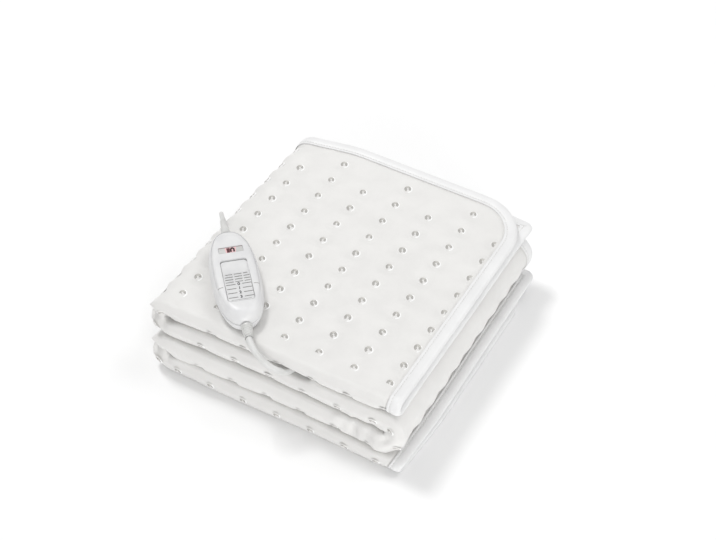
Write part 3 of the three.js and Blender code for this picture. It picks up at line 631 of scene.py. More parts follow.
def joined(forms):
    """The points and faces of several forms, each of rings with the same number of points."""
    points, faces = [], []
    for rings in forms:
        first = len(points)
        for ring in rings:
            points += ring
        faces += [tuple(first + i for i in face) for face in ring_faces(len(rings), len(rings[0]))]
    return points, faces


def place_on_control(points):
    """Points of the control's frame in the pack's."""
    turn = math.radians(CONTROL_TURN)
    p = np.asarray(points, dtype=float)
    x = p[:, 0] * math.cos(turn) - p[:, 1] * math.sin(turn) + CONTROL_PLACE[0]
    y = p[:, 0] * math.sin(turn) + p[:, 1] * math.cos(turn) + CONTROL_PLACE[1]
    return np.stack([x, y, p[:, 2] + CONTROL_PLACE[2]], axis=1)


def finish_piece(piece, body, slot, *nodes):
    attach(piece, body)
    if nodes:
        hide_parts(*nodes)


def cut(piece, cutter):
    """Takes the cutter's volume out of the piece."""
    boolean = piece.modifiers.new("cut", "BOOLEAN")
    boolean.object = cutter
    boolean.solver = "EXACT"
    apply_modifiers(piece)
    bpy.data.objects.remove(cutter, do_unlink=True)


def apply_modifiers(piece):
    shape = piece.evaluated_get(bpy.context.evaluated_depsgraph_get())
    mesh = bpy.data.meshes.new_from_object(shape)
    piece.modifiers.clear()
    old = piece.data
    piece.data = mesh
    bpy.data.meshes.remove(old)


# Points of a block's rounded corner, and rows of its rounded top edge
CORNER_STEPS, EDGE_STEPS = 7, 5


def rounded_block(name, x0, x1, half, z0, z1, corner, edge, materials):
    """A block of the control's frame with rounded corners and a rounded top edge."""
    levels = [(0.0, z0), (0.0, z1)]
    if edge > 0:
        angles = [math.pi / 2 * k / (EDGE_STEPS - 1) for k in range(EDGE_STEPS)]
        levels[1:] = [(edge * (1 - math.cos(a)), z1 - edge + edge * math.sin(a)) for a in angles]
    rings = []
    for inset, z in levels:
        radius = max(corner - inset, 0.1)
        for cx, cy, first in ((x1, half, 0), (x0, half, 90), (x0, -half, 180), (x1, -half, 270)):
            mx = cx - math.copysign(corner, cx - (x0 + x1) / 2)
            my = cy - math.copysign(corner, cy)
            for k in range(CORNER_STEPS):
                angle = math.radians(first + 90 / (CORNER_STEPS - 1) * k)
                rings.append((mx + radius * math.cos(angle), my + radius * math.sin(angle), z))
    faces = ring_faces(len(levels), 4 * CORNER_STEPS)
    return mesh_object(name, place_on_control(rings), faces, materials, smooth_angle=35)


# Materials


def add_node(tree, kind, links=None, **settings):
    """Adds a node, with its inputs set or linked by name, and its other settings."""
    node = tree.nodes.new(kind)
    for key, value in settings.items():
        setattr(node, key, value)
    for key, value in (links or {}).items():
        socket = node.inputs[key]
        if isinstance(value, bpy.types.NodeSocket):
            tree.links.new(value, socket)
        else:
            socket.default_value = value
    return node


# The mottle's middle part, over which a colour runs from dark to light
MOTTLE_SPAN = (0.35, 0.65)


def new_material(name, mottle, dark, light, relief=(), span=MOTTLE_SPAN, **inputs):
    """A material with one Principled shader, coloured from dark to light over a mottle.

    mottle is its width in millimetres and its detail. relief has rows of a grain's width in
    millimetres, its detail, roughness, height in millimetres and strength. Other inputs are set on
    the shader's own sockets.
    """
    material = bpy.data.materials.new(name)
    material.use_nodes = True
    tree = material.node_tree
    tree.nodes.clear()
    place = add_node(tree, "ShaderNodeTexCoord").outputs["Object"]
    patterns = []
    for width, detail, roughness in ((*mottle, 0.5), *(row[:3] for row in relief)):
        pattern = add_node(tree, "ShaderNodeTexNoise",
                           {"Scale": 1 / (width * MM), "Detail": detail, "Roughness": roughness,
                            "Vector": place})
        patterns.append(pattern.outputs["Fac"])
    share = add_node(tree, "ShaderNodeMapRange",
                     {"Value": patterns[0], "From Min": span[0], "From Max": span[1]})
    # Inputs 6 and 7 and output 2 of the mix node are its colours.
    blend = add_node(tree, "ShaderNodeMix",
                     {"Factor": share.outputs["Result"], 6: dark, 7: light}, data_type="RGBA")
    inputs["Base Color"] = blend.outputs[2]
    for pattern, (*_, height, strength) in zip(patterns[1:], relief):
        links = {"Height": pattern, "Distance": height * MM, "Strength": strength}
        if "Normal" in inputs:
            links["Normal"] = inputs["Normal"]
        inputs["Normal"] = add_node(tree, "ShaderNodeBump", links).outputs["Normal"]
    shader = add_node(tree, "ShaderNodeBsdfPrincipled", inputs)
    add_node(tree, "ShaderNodeOutputMaterial", {"Surface": shader.outputs["BSDF"]})
    return material


def shaded(colour, share):
    """The colour times the share, at most white, with its alpha left at 1."""
    return (*(min(1.0, value * share) for value in colour[:3]), 1)


def napped_cloth(settings):
    """Brushed polyester knit, quilted: a matt white nap with a faint warm mottle."""
    colour = tuple(settings.cloth_colour)
    # The nap's fibres lie in tufts of about 1.6 mm, the finest that the picture shows.
    tufts, puckers = (1.6, 3, 0.7, 0.22, 0.5), (9, 2, 0.5, 0.6, 0.35)
    return new_material(
        "brushed_polyester_quilted", (26, 3), shaded(colour, 0.965), shaded(colour, 1),
        (tufts, puckers), **{"Roughness": 0.92, "Sheen Weight": 0.25, "Sheen Roughness": 0.5,
                             "Specular IOR Level": 0.25})


def pressed_mark(name, dark, light):
    """Painted light of a welded quilting mark: painted shade in its groove, painted highlight on its
    rim.
    """
    return new_material(name, (1.2, 2), linear_from_hex(dark), linear_from_hex(light),
                        **{"Roughness": 0.6, "Specular IOR Level": 0.4})


def satin_tape(settings):
    """Woven satin ribbon: smooth and a little brighter than the cloth, with a soft shine."""
    colour = tuple(settings.binding_colour)
    # The ribbon's threads stand 0.4 mm apart and are drawn at 1.5 mm, the finest that shows.
    threads = (1.5, 2, 0.5, 0.12, 0.35)
    return new_material(
        "polyester_satin_ribbon", (30, 2), shaded(colour, 0.96), shaded(colour, 1), (threads,),
        **{"Roughness": 0.42, "Specular IOR Level": 0.45, "Sheen Weight": 0.15,
           "Sheen Roughness": 0.3})


def sewing_thread():
    """Twisted polyester thread: a fine grey-white line with a shadow beside it."""
    return new_material("polyester_thread_twisted", (2, 1), linear_from_hex("D2D1CE"),
                        linear_from_hex("E6E5E2"), Roughness=0.55)


def moulded_plastic(name, light, dark, roughness, grain_mm=1.2, depth_mm=0.03):
    """Moulded plastic with a fine spark-eroded grain: satin, with broad soft highlights."""
    return new_material(name, (18, 2), linear_from_hex(dark), linear_from_hex(light),
                        ((grain_mm, 2, 0.5, depth_mm, 0.5),),
                        **{"Roughness": roughness, "IOR": 1.53, "Specular IOR Level": 0.5})


def printed_grey(name, code):
    """Flat colour with a slightly rubbed edge: pad-printed ink, and also the control's painted shade
    and painted glow.
    """
    base = linear_from_hex(code)
    return new_material(name, (2.5, 3), base, shaded(base, 1.35), span=(0.45, 0.8),
                        Roughness=0.5, IOR=1.5)


def plated_brass():
    """Nickel-plated brass, turned: bright metal with fine rings."""
    return new_material("nickel_plated_brass_turned", (6, 2), linear_from_hex("B9B4A6"),
                        linear_from_hex("D3CFC4"), ((0.6, 1, 0.5, 0.02, 0.4),),
                        Metallic=1.0, Roughness=0.25)


# Leads


def rounded_route(route, step):
    """Points every step along a smooth curve through the route."""
    points = [Vector(p) for p in route]
    ends = [points[0] * 2 - points[1], *points, points[-1] * 2 - points[-2]]
    out = []
    for i in range(1, len(ends) - 2):
        p0, p1, p2, p3 = ends[i - 1 : i + 3]
        k0, k1, k2 = (max((b - a).length, 1e-6) ** 0.5 for a, b in ((p0, p1), (p1, p2), (p2, p3)))
        m1 = (p2 - p1) + ((p1 - p0) / k0 - (p2 - p0) / (k0 + k1)) * k1
        m2 = (p2 - p1) + ((p3 - p2) / k2 - (p3 - p1) / (k1 + k2)) * k1
        count = max(1, round((p2 - p1).length / step))
        for j in range(count):
            t = j / count
            out.append(p1 * (2 * t**3 - 3 * t**2 + 1) + m1 * (t**3 - 2 * t**2 + t)
                       + p2 * (3 * t**2 - 2 * t**3) + m2 * (t**3 - t**2))
    return [*out, points[-1]]


def hank_turns(step):
    """Windings of the hank, two turns to a layer, in and out by turns, ending on top outside."""
    half = HANK["straight"] / 2
    radii = [HANK["outer"], HANK["inner"]]
    order = []
    for layer in range(HANK["layers"]):
        order += [(radius, layer) for radius in (radii if layer % 2 == 0 else radii[::-1])]
    points = []
    for number, (radius, layer) in enumerate(order):
        after_radius, after_layer = order[min(number + 1, len(order) - 1)]
        z = HANK["first"] + HANK["rise"] * layer
        after_z = HANK["first"] + HANK["rise"] * after_layer
        for x in np.arange(-half, half, step):
            points.append((x, -radius, z))
        for angle in np.arange(-90, 90, math.degrees(step / radius)):
            points.append((half + radius * math.cos(math.radians(angle)),
                           radius * math.sin(math.radians(angle)), z))
        for x in np.arange(half, -half, -step):
            points.append((x, radius, z))
        # The last fold of each turn leads over to the next turn's place.
        for angle in np.arange(90, 270, math.degrees(step / radius)):
            share = float(smooth((angle - 90) / 180))
            r = mix(radius, after_radius, share)
            points.append((-half + r * math.cos(math.radians(angle)),
                           r * math.sin(math.radians(angle)), mix(z, after_z, share)))
    top = HANK["first"] + HANK["rise"] * (HANK["layers"] - 1)
    for x in np.arange(-half, half + 0.1, step):
        points.append((x, -HANK["outer"], top))
    return [Vector((HANK["x"] + x, HANK["y"] + y, z)) for x, y, z in points]


def lead_curve(name, points, diameter, material):
    """A lead as one open curve with a round section."""
    curve = bpy.data.curves.new(name, "CURVE")
    curve.dimensions = "3D"
    curve.bevel_depth = diameter / 2 * MM
    curve.bevel_resolution = 3
    curve.use_fill_caps = True
    spline = curve.splines.new("POLY")
    spline.points.add(len(points) - 1)
    for stop, p in zip(spline.points, points):
        stop.co = (p[0] * MM, p[1] * MM, p[2] * MM, 1)
    spline.use_smooth = True
    curve.materials.append(material)
    piece = bpy.data.objects.new(name, curve)
    bpy.context.scene.collection.objects.link(piece)
    return piece


def turned_form(profile, sides, x, y, z):
    """Rings round a line along X through the place, from rows of distance along it and radius."""
    return [(x + along, y + radius * math.cos(angle), z + radius * math.sin(angle))
            for along, radius in profile for angle in ring_angles(sides)]


def sleeve(name, profile, materials):
    """A turned sleeve on the control, from rows of distance along it and radius."""
    points = place_on_control(turned_form(profile, SLEEVE_SIDES, 0.0, 0.0, LEAD_HEIGHT))
    faces = ring_faces(len(profile), SLEEVE_SIDES)
    return mesh_object(name, points, faces, materials, smooth_angle=40)


# Settings


class UnderblanketSettings(bpy.types.PropertyGroup):
    """Sizes and colours that can be changed before the pieces are built."""

    cloth_colour: bpy.props.FloatVectorProperty(
        name="Cloth", description="Colour of the brushed cloth", size=4, subtype="COLOR",
        min=0, max=1, default=linear_from_hex("E4E3E1"))
    binding_colour: bpy.props.FloatVectorProperty(
        name="Binding", description="Colour of the satin tape", size=4, subtype="COLOR",
        min=0, max=1, default=linear_from_hex("E9E9E9"))
    dimple_depth: bpy.props.FloatProperty(
        name="Dimple depth", description="How deep the quilting marks draw the cloth in",
        default=0.003, min=0, max=0.005, unit="LENGTH")
    dimple_spread: bpy.props.FloatProperty(
        name="Dimple spread", description="Radius over which the cloth rises from a mark",
        default=0.0078, min=0.004, max=0.02, unit="LENGTH")
    mark_size: bpy.props.FloatProperty(
        name="Mark size", description="Width of the welded ring at each quilting point",
        default=0.0108, min=0.004, max=0.014, unit="LENGTH")
    stitch_length: bpy.props.FloatProperty(
        name="Stitch length", description="Length of a stitch in the binding's seam",
        default=0.0028, min=0.001, max=0.006, unit="LENGTH")
    key_power: bpy.props.FloatProperty(
        name="Key light", description="Power of the large light at the upper left",
        default=52.5, min=0, max=500, unit="POWER")
    sky_strength: bpy.props.FloatProperty(
        name="Surroundings", description="Brightness of the white surroundings",
        default=0.53, min=0, max=3)


# Operators


class UNDERBLANKET_OT_stage(bpy.types.Operator):
    """Sets up the camera, floor and lights"""

    bl_idname = "underblanket.stage"
    bl_label = "Camera, floor and lights"

    # Soft round lights: name, place and size in metres, share of the key light's power.
    LIGHTS = (
        ("key", (-1.57, 0.44, 3.65), 0.85, 1.0),
        ("side", (-2.55, 0.71, 1.41), 1.6, 0.16),
        ("fill", (1.91, -2.23, 0.62), 1.8, 0.74),
        ("back", (1.15, 1.3, 2.7), 1.7, 0.38),
    )

    # The floor lies this far under the pack, so that the two faces don't share a plane.
    FLOOR_LEVEL, FLOOR_REACH = -0.0004, 14.0

    def execute(self, context):
        settings = context.scene.underblanket
        scene = context.scene
        self.add_camera(scene)
        self.add_floor(scene)
        world = bpy.data.worlds.new("studio")
        world.use_nodes = True
        background = world.node_tree.nodes["Background"]
        background.inputs["Color"].default_value = (1, 1, 1, 1)
        background.inputs["Strength"].default_value = settings.sky_strength
        scene.world = world
        scene.view_settings.view_transform = "Standard"
        for name, place, size, share in self.LIGHTS:
            self.add_light(scene, name, place, size, settings.key_power * share)
        return {"FINISHED"}

    def add_camera(self, scene):
        a = math.radians(CAMERA_AZIMUTH)
        e = math.radians(CAMERA_ELEVATION)
        right = Vector((math.cos(a), math.sin(a), 0))
        back = Vector((math.sin(a) * math.cos(e), -math.cos(a) * math.cos(e), math.sin(e)))
        up = back.cross(right)
        aside, above, away = CAMERA_OFFSET
        place = (right * aside + up * above + back * away + Vector(CAMERA_ORIGIN)) * MM
        data = bpy.data.cameras.new("camera")
        data.sensor_fit = "HORIZONTAL"
        data.sensor_width = SENSOR_WIDTH
        data.lens = FOCAL_PIXELS / PHOTO_WIDTH * SENSOR_WIDTH
        data.clip_end = 50
        camera = bpy.data.objects.new("camera", data)
        turn = Matrix((right, up, back)).transposed().to_4x4()
        camera.matrix_world = (Matrix.Translation(place) @ turn
                               @ Matrix.Rotation(math.radians(CAMERA_ROLL), 4, "Z"))
        scene.collection.objects.link(camera)
        scene.camera = camera

    def add_floor(self, scene):
        """A board painted matt white, which gives the eye an even ground with soft shadows."""
        paint = new_material("painted_board_matt", (400, 1), linear_from_hex("F8F8F8"),
                             linear_from_hex("FAFAFA"), Roughness=0.9)
        reach, level = self.FLOOR_REACH, self.FLOOR_LEVEL
        corners = [(-reach, -reach, level), (reach, -reach, level),
                   (reach, reach, level), (-reach, reach, level)]
        mesh = bpy.data.meshes.new("floor")
        mesh.from_pydata(corners, [], [(0, 1, 2, 3)])
        mesh.materials.append(paint)
        floor = bpy.data.objects.new("floor", mesh)
        scene.collection.objects.link(floor)

    def add_light(self, scene, name, place, size, power):
        light = bpy.data.lights.new(name, "AREA")
        light.shape = "DISK"
        light.size = size
        light.energy = power
        lamp = bpy.data.objects.new(name, light)
        lamp.location = place
        lamp.rotation_euler = Vector(place).to_track_quat("Z", "Y").to_euler()
        scene.collection.objects.link(lamp)


class UNDERBLANKET_OT_leads(bpy.types.Operator):
    """Makes the mains lead with its hank and tie, the plug and the lead to the cloth"""

    bl_idname = "underblanket.leads"
    bl_label = "Leads and plug"

    # Spacing of the points along each lead, and the nearest that two of the mains lead's may be
    MAINS_STEP, CLOTH_LEAD_STEP, NEAREST = 3.0, 2.5, 1.2
    # The plug's body from its cord end: distance from its middle, width and height
    PLUG_ROWS = ((-18.0, 9, 9), (-17.0, 9.8, 9.6), (-12.0, 15, 11.6), (-6.0, 22, 13.4),
                 (-2.0, 24.6, 14), (15.8, 25, 14), (17.2, 24.6, 13.6), (18.0, 23.4, 12.4))
    # A pin from the plug's face: distance and radius, its insulated part first
    PIN_ROWS = ((0.0, 1.98), (9.5, 1.98), (9.6, 1.9), (17.4, 1.9), (18.4, 1.55), (19.0, 0.8))
    # The tie round the hank: its bottom, corner radius, gap to the lead and points to a corner,
    # and its section, along X and out from the lead
    TIE_LOW, TIE_CORNER, TIE_CLEAR, TIE_STEPS = 0.95, 3.2, 0.15, 6
    TIE_SECTION = ((-4.0, 0.0), (-4.0, 0.6), (-3.4, 0.85), (3.4, 0.85), (4.0, 0.6), (4.0, 0.0))

    def execute(self, context):
        jacket = moulded_plastic("pvc_cord_jacket_extruded", "D9D9D8", "D0D0CE", 0.38, 2.0, 0.05)
        shell = moulded_plastic("pvc_moulded_plug", "DCDCDB", "D3D3D2", 0.4)
        mains = self.evened([*rounded_route(MAINS_LEAD_ROUTE, self.MAINS_STEP)[:-1],
                             *hank_turns(self.MAINS_STEP)[2:],
                             *rounded_route(TAIL_ROUTE, self.MAINS_STEP)[1:]])
        lead = lead_curve("mains_lead_jacket", mains, MAINS_LEAD_DIAMETER, jacket)
        plug = self.plug_body(shell)
        pins = [self.plug_pin(side) for side in (1, -1)]
        tie = self.hank_tie()
        finish_piece(lead, PACK, "lead", "mains_lead", "mains_lead_hank", "mains_lead_tail")
        finish_piece(plug, PACK, "plug", "mains_plug")
        finish_piece(pins[0], PACK, "pin", "plug_pin_left")
        finish_piece(pins[1], PACK, "pin", "plug_pin_right")
        finish_piece(tie, PACK, "relief")

        route = rounded_route(CLOTH_LEAD_ROUTE, self.CLOTH_LEAD_STEP)
        cloth_lead = lead_curve("cloth_lead_jacket", route, CLOTH_LEAD_DIAMETER, jacket)
        finish_piece(cloth_lead, PACK, "lead", "cloth_lead")
        return {"FINISHED"}

    def evened(self, points):
        """The points with near doubles taken out and the joins eased, three times over."""
        kept = [points[0]]
        for p in points[1:]:
            if (p - kept[-1]).length > self.NEAREST:
                kept.append(p)
        for _ in range(3):
            middle = [(a + b * 2 + c) / 4 for a, b, c in zip(kept, kept[1:], kept[2:])]
            kept = [kept[0], *middle, kept[-1]]
        return kept

    def plug_body(self, material):
        sides = 40
        points = []
        for x, width, height in self.PLUG_ROWS:
            for angle in ring_angles(sides, 0.5):
                c, s = math.cos(angle), math.sin(angle)
                points.append((PLUG["x"] + x,
                               PLUG["y"] + width / 2 * math.copysign(abs(c) ** 0.5, c),
                               PLUG["z"] + height / 2 * math.copysign(abs(s) ** 0.5, s)))
        faces = ring_faces(len(self.PLUG_ROWS), sides)
        return mesh_object("plug_body", points, faces, [material], smooth_angle=40)

    def plug_pin(self, side):
        sides = 20
        start = PLUG["length"] / 2 + FACE_GAP
        points = turned_form(self.PIN_ROWS, sides, PLUG["x"] + start,
                             PLUG["y"] + side * PLUG["pin_gap"] / 2, PLUG["z"])
        faces = ring_faces(len(self.PIN_ROWS), sides)
        name = "plug_pin_metal_" + ("left" if side > 0 else "right")
        return mesh_object(name, points, faces, [plated_brass()], smooth_angle=35)

    def hank_tie(self):
        """A soft strap round both runs of the hank."""
        strap = moulded_plastic("silicone_strap_moulded", "DADAD8", "CFCFCD", 0.55)
        around = MAINS_LEAD_DIAMETER / 2 + self.TIE_CLEAR
        wide = HANK["outer"] + around - self.TIE_CORNER
        high = HANK["first"] + HANK["rise"] * (HANK["layers"] - 1) + around - self.TIE_CORNER
        low = self.TIE_LOW + self.TIE_CORNER
        points = []
        for y, z, first in ((wide, high, 0), (-wide, high, 90), (-wide, low, 180), (wide, low, 270)):
            for k in range(self.TIE_STEPS):
                angle = math.radians(first + 90 / (self.TIE_STEPS - 1) * k)
                for x, out in self.TIE_SECTION:
                    radius = self.TIE_CORNER + out
                    points.append((HANK["x"] + x, HANK["y"] + y + radius * math.cos(angle),
                                   z + radius * math.sin(angle)))
        index = np.arange(len(points)).reshape(-1, len(self.TIE_SECTION))
        after = np.roll(index, -1, axis=0)
        faces = np.stack([index, np.roll(index, -1, 1), np.roll(after, -1, 1), after], axis=-1)
        return mesh_object("hank_tie", points, faces.reshape(-1, 4).tolist(), [strap],
                           smooth_angle=50)


class UNDERBLANKET_OT_pad(bpy.types.Operator):
    """Makes the folded quilted cloth and its welded marks"""

    bl_idname = "underblanket.pad"
    bl_label = "Quilted pad"

    # Beside the tape the relief starts from nothing, and the cloth is pressed in along a line:
    # distances in from the edge, and how deep and wide the line is.
    RELIEF_NONE, RELIEF_FROM, RELIEF_OVER = 14.5, 15.0, 6.0
    TAPE_LINE = {"in": 16.2, "deep": 1.1, "wide": 1.1}
    # Sheet a's inner face, which is out of sight, keeps one column in five.
    INNER_EVERY = 5

    def execute(self, context):
        settings = context.scene.underblanket
        depth = settings.dimple_depth / MM
        cloth = napped_cloth(settings)
        s = length_stations()
        last, columns = across_columns()
        zones = np.array([zone for zone, _, _ in columns])
        across = across_values(s, last, columns)
        crease_y = crease_frame(s)[3][:, None]
        ways = np.where(zones == 0, across * CREASE_ROUND, zones * (QUARTER + across - crease_y))
        marks = quilting_marks()
        relief = surface_relief(s, ways, marks, depth, settings.dimple_spread / MM)
        relief = self.eased_to_tape(relief, s, zones, across)
        outer = cloth_points(s[:, None], zones[None, :], across, 1, relief)
        kept = [j for j, (zone, kind, _) in enumerate(columns)
                if not (zone > 0 and kind == "y") or j % self.INNER_EVERY == 0
                or j == len(columns) - 1]
        inner = cloth_points(s[:, None], zones[None, kept], across[:, kept], -1)
        points = np.concatenate([outer.reshape(-1, 3), inner.reshape(-1, 3)])
        piece = mesh_object("blanket_cloth", points, self.cloth_faces(len(s), len(columns), kept),
                            [cloth])
        finish_piece(piece, PACK, "cloth", "blanket")
        finish_piece(self.weld_marks(settings, marks, depth, cloth), PACK, "cloth")
        wide = ways[:, -1].mean() - ways[:, 0].mean()
        context.scene["pad_flat_m"] = (float(wide) * MM, FOLD_LENGTH * MM)
        return {"FINISHED"}

    def eased_to_tape(self, relief, s, zones, across):
        """The relief without its part under the tape, and with a line pressed along the tape."""
        back = back_of(fold_path_at(s))[:, None]
        ends = np.minimum(s, FOLD_LENGTH - s)[:, None]
        radius = np.where(zones > 0, CORNER_RADIUS["a"], CORNER_RADIUS["b"])
        side = np.where(zones == 0, FAR_AWAY, back - across)
        edge = np.where(zones == 0, ends, round_corner(ends, side, radius)[2])
        line = self.TAPE_LINE
        relief = relief * smooth((edge - self.RELIEF_FROM) / self.RELIEF_OVER)
        relief = relief - line["deep"] * bell((edge - line["in"]) / line["wide"])
        return np.where(edge < self.RELIEF_NONE, 0, relief)

    def cloth_faces(self, rows, count, kept):
        """Faces of the outer and the inner face, along the bound side and at the two ends."""
        outer = np.arange(rows * count).reshape(rows, -1)
        inner = rows * count + np.arange(rows * len(kept)).reshape(rows, -1)
        faces = []
        for grid, turned in ((outer, False), (inner, True)):
            quads = np.stack([grid[:-1, :-1], grid[1:, :-1], grid[1:, 1:], grid[:-1, 1:]], axis=-1)
            quads = quads.reshape(-1, 4)
            faces += (quads[:, ::-1] if turned else quads).tolist()
        for line_a, line_b in ((outer[:, 0], inner[:, 0]), (inner[:, -1], outer[:, -1])):
            faces += np.stack([line_a[:-1], line_b[:-1], line_b[1:], line_a[1:]], axis=-1).tolist()
        for row in (0, -1):
            for k in range(len(kept) - 1):
                face = [*outer[row, kept[k] : kept[k + 1] + 1], inner[row, k + 1], inner[row, k]]
                faces.append([int(i) for i in (face if row else face[::-1])])
        return faces

    # Rings of a weld: share of its radius, height off the dimple's floor in mm, and whether the nap is
    # pressed there, which is where the groove's painted shade goes.
    RINGS = ((0.14, 1.1, 0), (0.24, 0.8, 1), (0.3, 0.22, 1), (0.74, 0.2, 1), (0.82, 0.6, 1),
             (0.92, 0.75, 0), (1.06, 0.45, 0), (1.22, -0.5, 0))

    WELD_SIDES = 24
    BUTTON_TOP = 1.2
    # A weld is longer than wide. Its turn, its size and how far the painted shade on its sides reaches
    # are drawn between these, the reaches in degrees on the left and the right.
    LONG = 1.16
    TURNS, SIZES, DARK_REACH = (-0.3, 0.3), (0.93, 1.07), ((45, 28), (78, 62))
    # The groove is a horseshoe, open towards the front: its two sides, across the light, carry dark
    # painted shade, its bow carries a lighter painted shade, and its rim has a painted highlight
    # outside these angles, in degrees round the weld.
    BOW = (20, 160)
    DULL_RIM = (40, 265)
    DARK_LEFT = 172

    def weld_marks(self, settings, marks, depth, cloth):
        """A small welded ring in each dimple: a button, a pressed groove with painted shade and a rim
        with a painted highlight.
        """
        radius = settings.mark_size / 2 / MM
        draw = np.random.default_rng(11)
        seen = math.radians(CAMERA_AZIMUTH)
        points, faces, slots = [], [], []
        for middle, normal in zip(*self.mark_frames(marks, depth)):
            # The weld's right follows the view's right, so its painted shade lies on the sides across
            # the light from the upper left.
            right = np.array([math.cos(seen), math.sin(seen), 0.0])
            right -= normal * np.dot(right, normal)
            right /= np.linalg.norm(right)
            up = np.cross(normal, right)
            turn = draw.uniform(*self.TURNS)
            size = radius * draw.uniform(*self.SIZES)
            reach = draw.uniform(*self.DARK_REACH)
            first = len(points)
            points.append(middle + normal * self.BUTTON_TOP)
            for share, height, _ in self.RINGS:
                r = size * share
                points += [middle + normal * height
                           + right * (r * math.cos(angle)) + up * (self.LONG * r * math.sin(angle))
                           for angle in ring_angles(self.WELD_SIDES)]
            self.add_weld_faces(faces, slots, first, turn, reach)
        # Slots 1 to 3 are painted light: lighter and darker painted shade in the groove, and a painted
        # highlight on the rim.
        materials = [cloth, pressed_mark("polyester_welded_pale", "BCBAB5", "CBC9C4"),
                     pressed_mark("polyester_welded_dark", "9F9D99", "BDBBB7"),
                     pressed_mark("polyester_welded_gloss", "F3F3F2", "FAFAFA")]
        return mesh_object("quilting_marks", points, faces, materials, smooth_angle=60,
                           face_slots=slots)

    def mark_frames(self, marks, depth):
        """The middle of each mark's dimple and the outward direction there."""
        s, u, share = (np.array(column) for column in zip(*marks))
        deep = -depth * share
        near = 0.6
        middles = points_at_ways(s, u, 1, deep)
        alongs = points_at_ways(s + near, u, 1, deep) - points_at_ways(s - near, u, 1, deep)
        alongs /= np.linalg.norm(alongs, axis=1)[:, None]
        normals = np.cross(points_at_ways(s, u + near, 1, deep) - middles, alongs)
        normals /= np.linalg.norm(normals, axis=1)[:, None]
        inward = points_at_ways(s, u, -1) - middles
        normals *= -np.sign(np.sum(normals * inward, axis=1))[:, None]
        return middles, normals

    def add_weld_faces(self, faces, slots, first, turn, reach):
        """Faces of one weld and their materials: 0 cloth, 1 light painted shade, 2 dark painted shade,
        3 painted highlight.
        """
        sides = self.WELD_SIDES
        for i in range(sides):
            j = (i + 1) % sides
            faces.append((first, first + 1 + i, first + 1 + j))
            slots.append(0)
            angle = math.degrees(2 * math.pi * (i + 0.5) / sides + turn) % 360
            is_dark = (abs(angle - self.DARK_LEFT) < reach[0]
                       or min(angle, 360 - angle) < reach[1])
            is_bow = self.BOW[0] < angle < self.BOW[1]
            is_gloss = not self.DULL_RIM[0] < angle < self.DULL_RIM[1]
            shade = 2 if is_dark else 1 if is_bow else 0
            for ring in range(len(self.RINGS) - 1):
                a = first + 1 + ring * sides
                faces.append((a + i, a + sides + i, a + sides + j, a + j))
                pressed = self.RINGS[ring][2] and self.RINGS[ring + 1][2]
                slots.append(shade if pressed else 3 if ring and is_gloss else 0)
        end = first + 1 + (len(self.RINGS) - 1) * sides
        faces.append(tuple(end + i for i in reversed(range(sides))))
        slots.append(0)


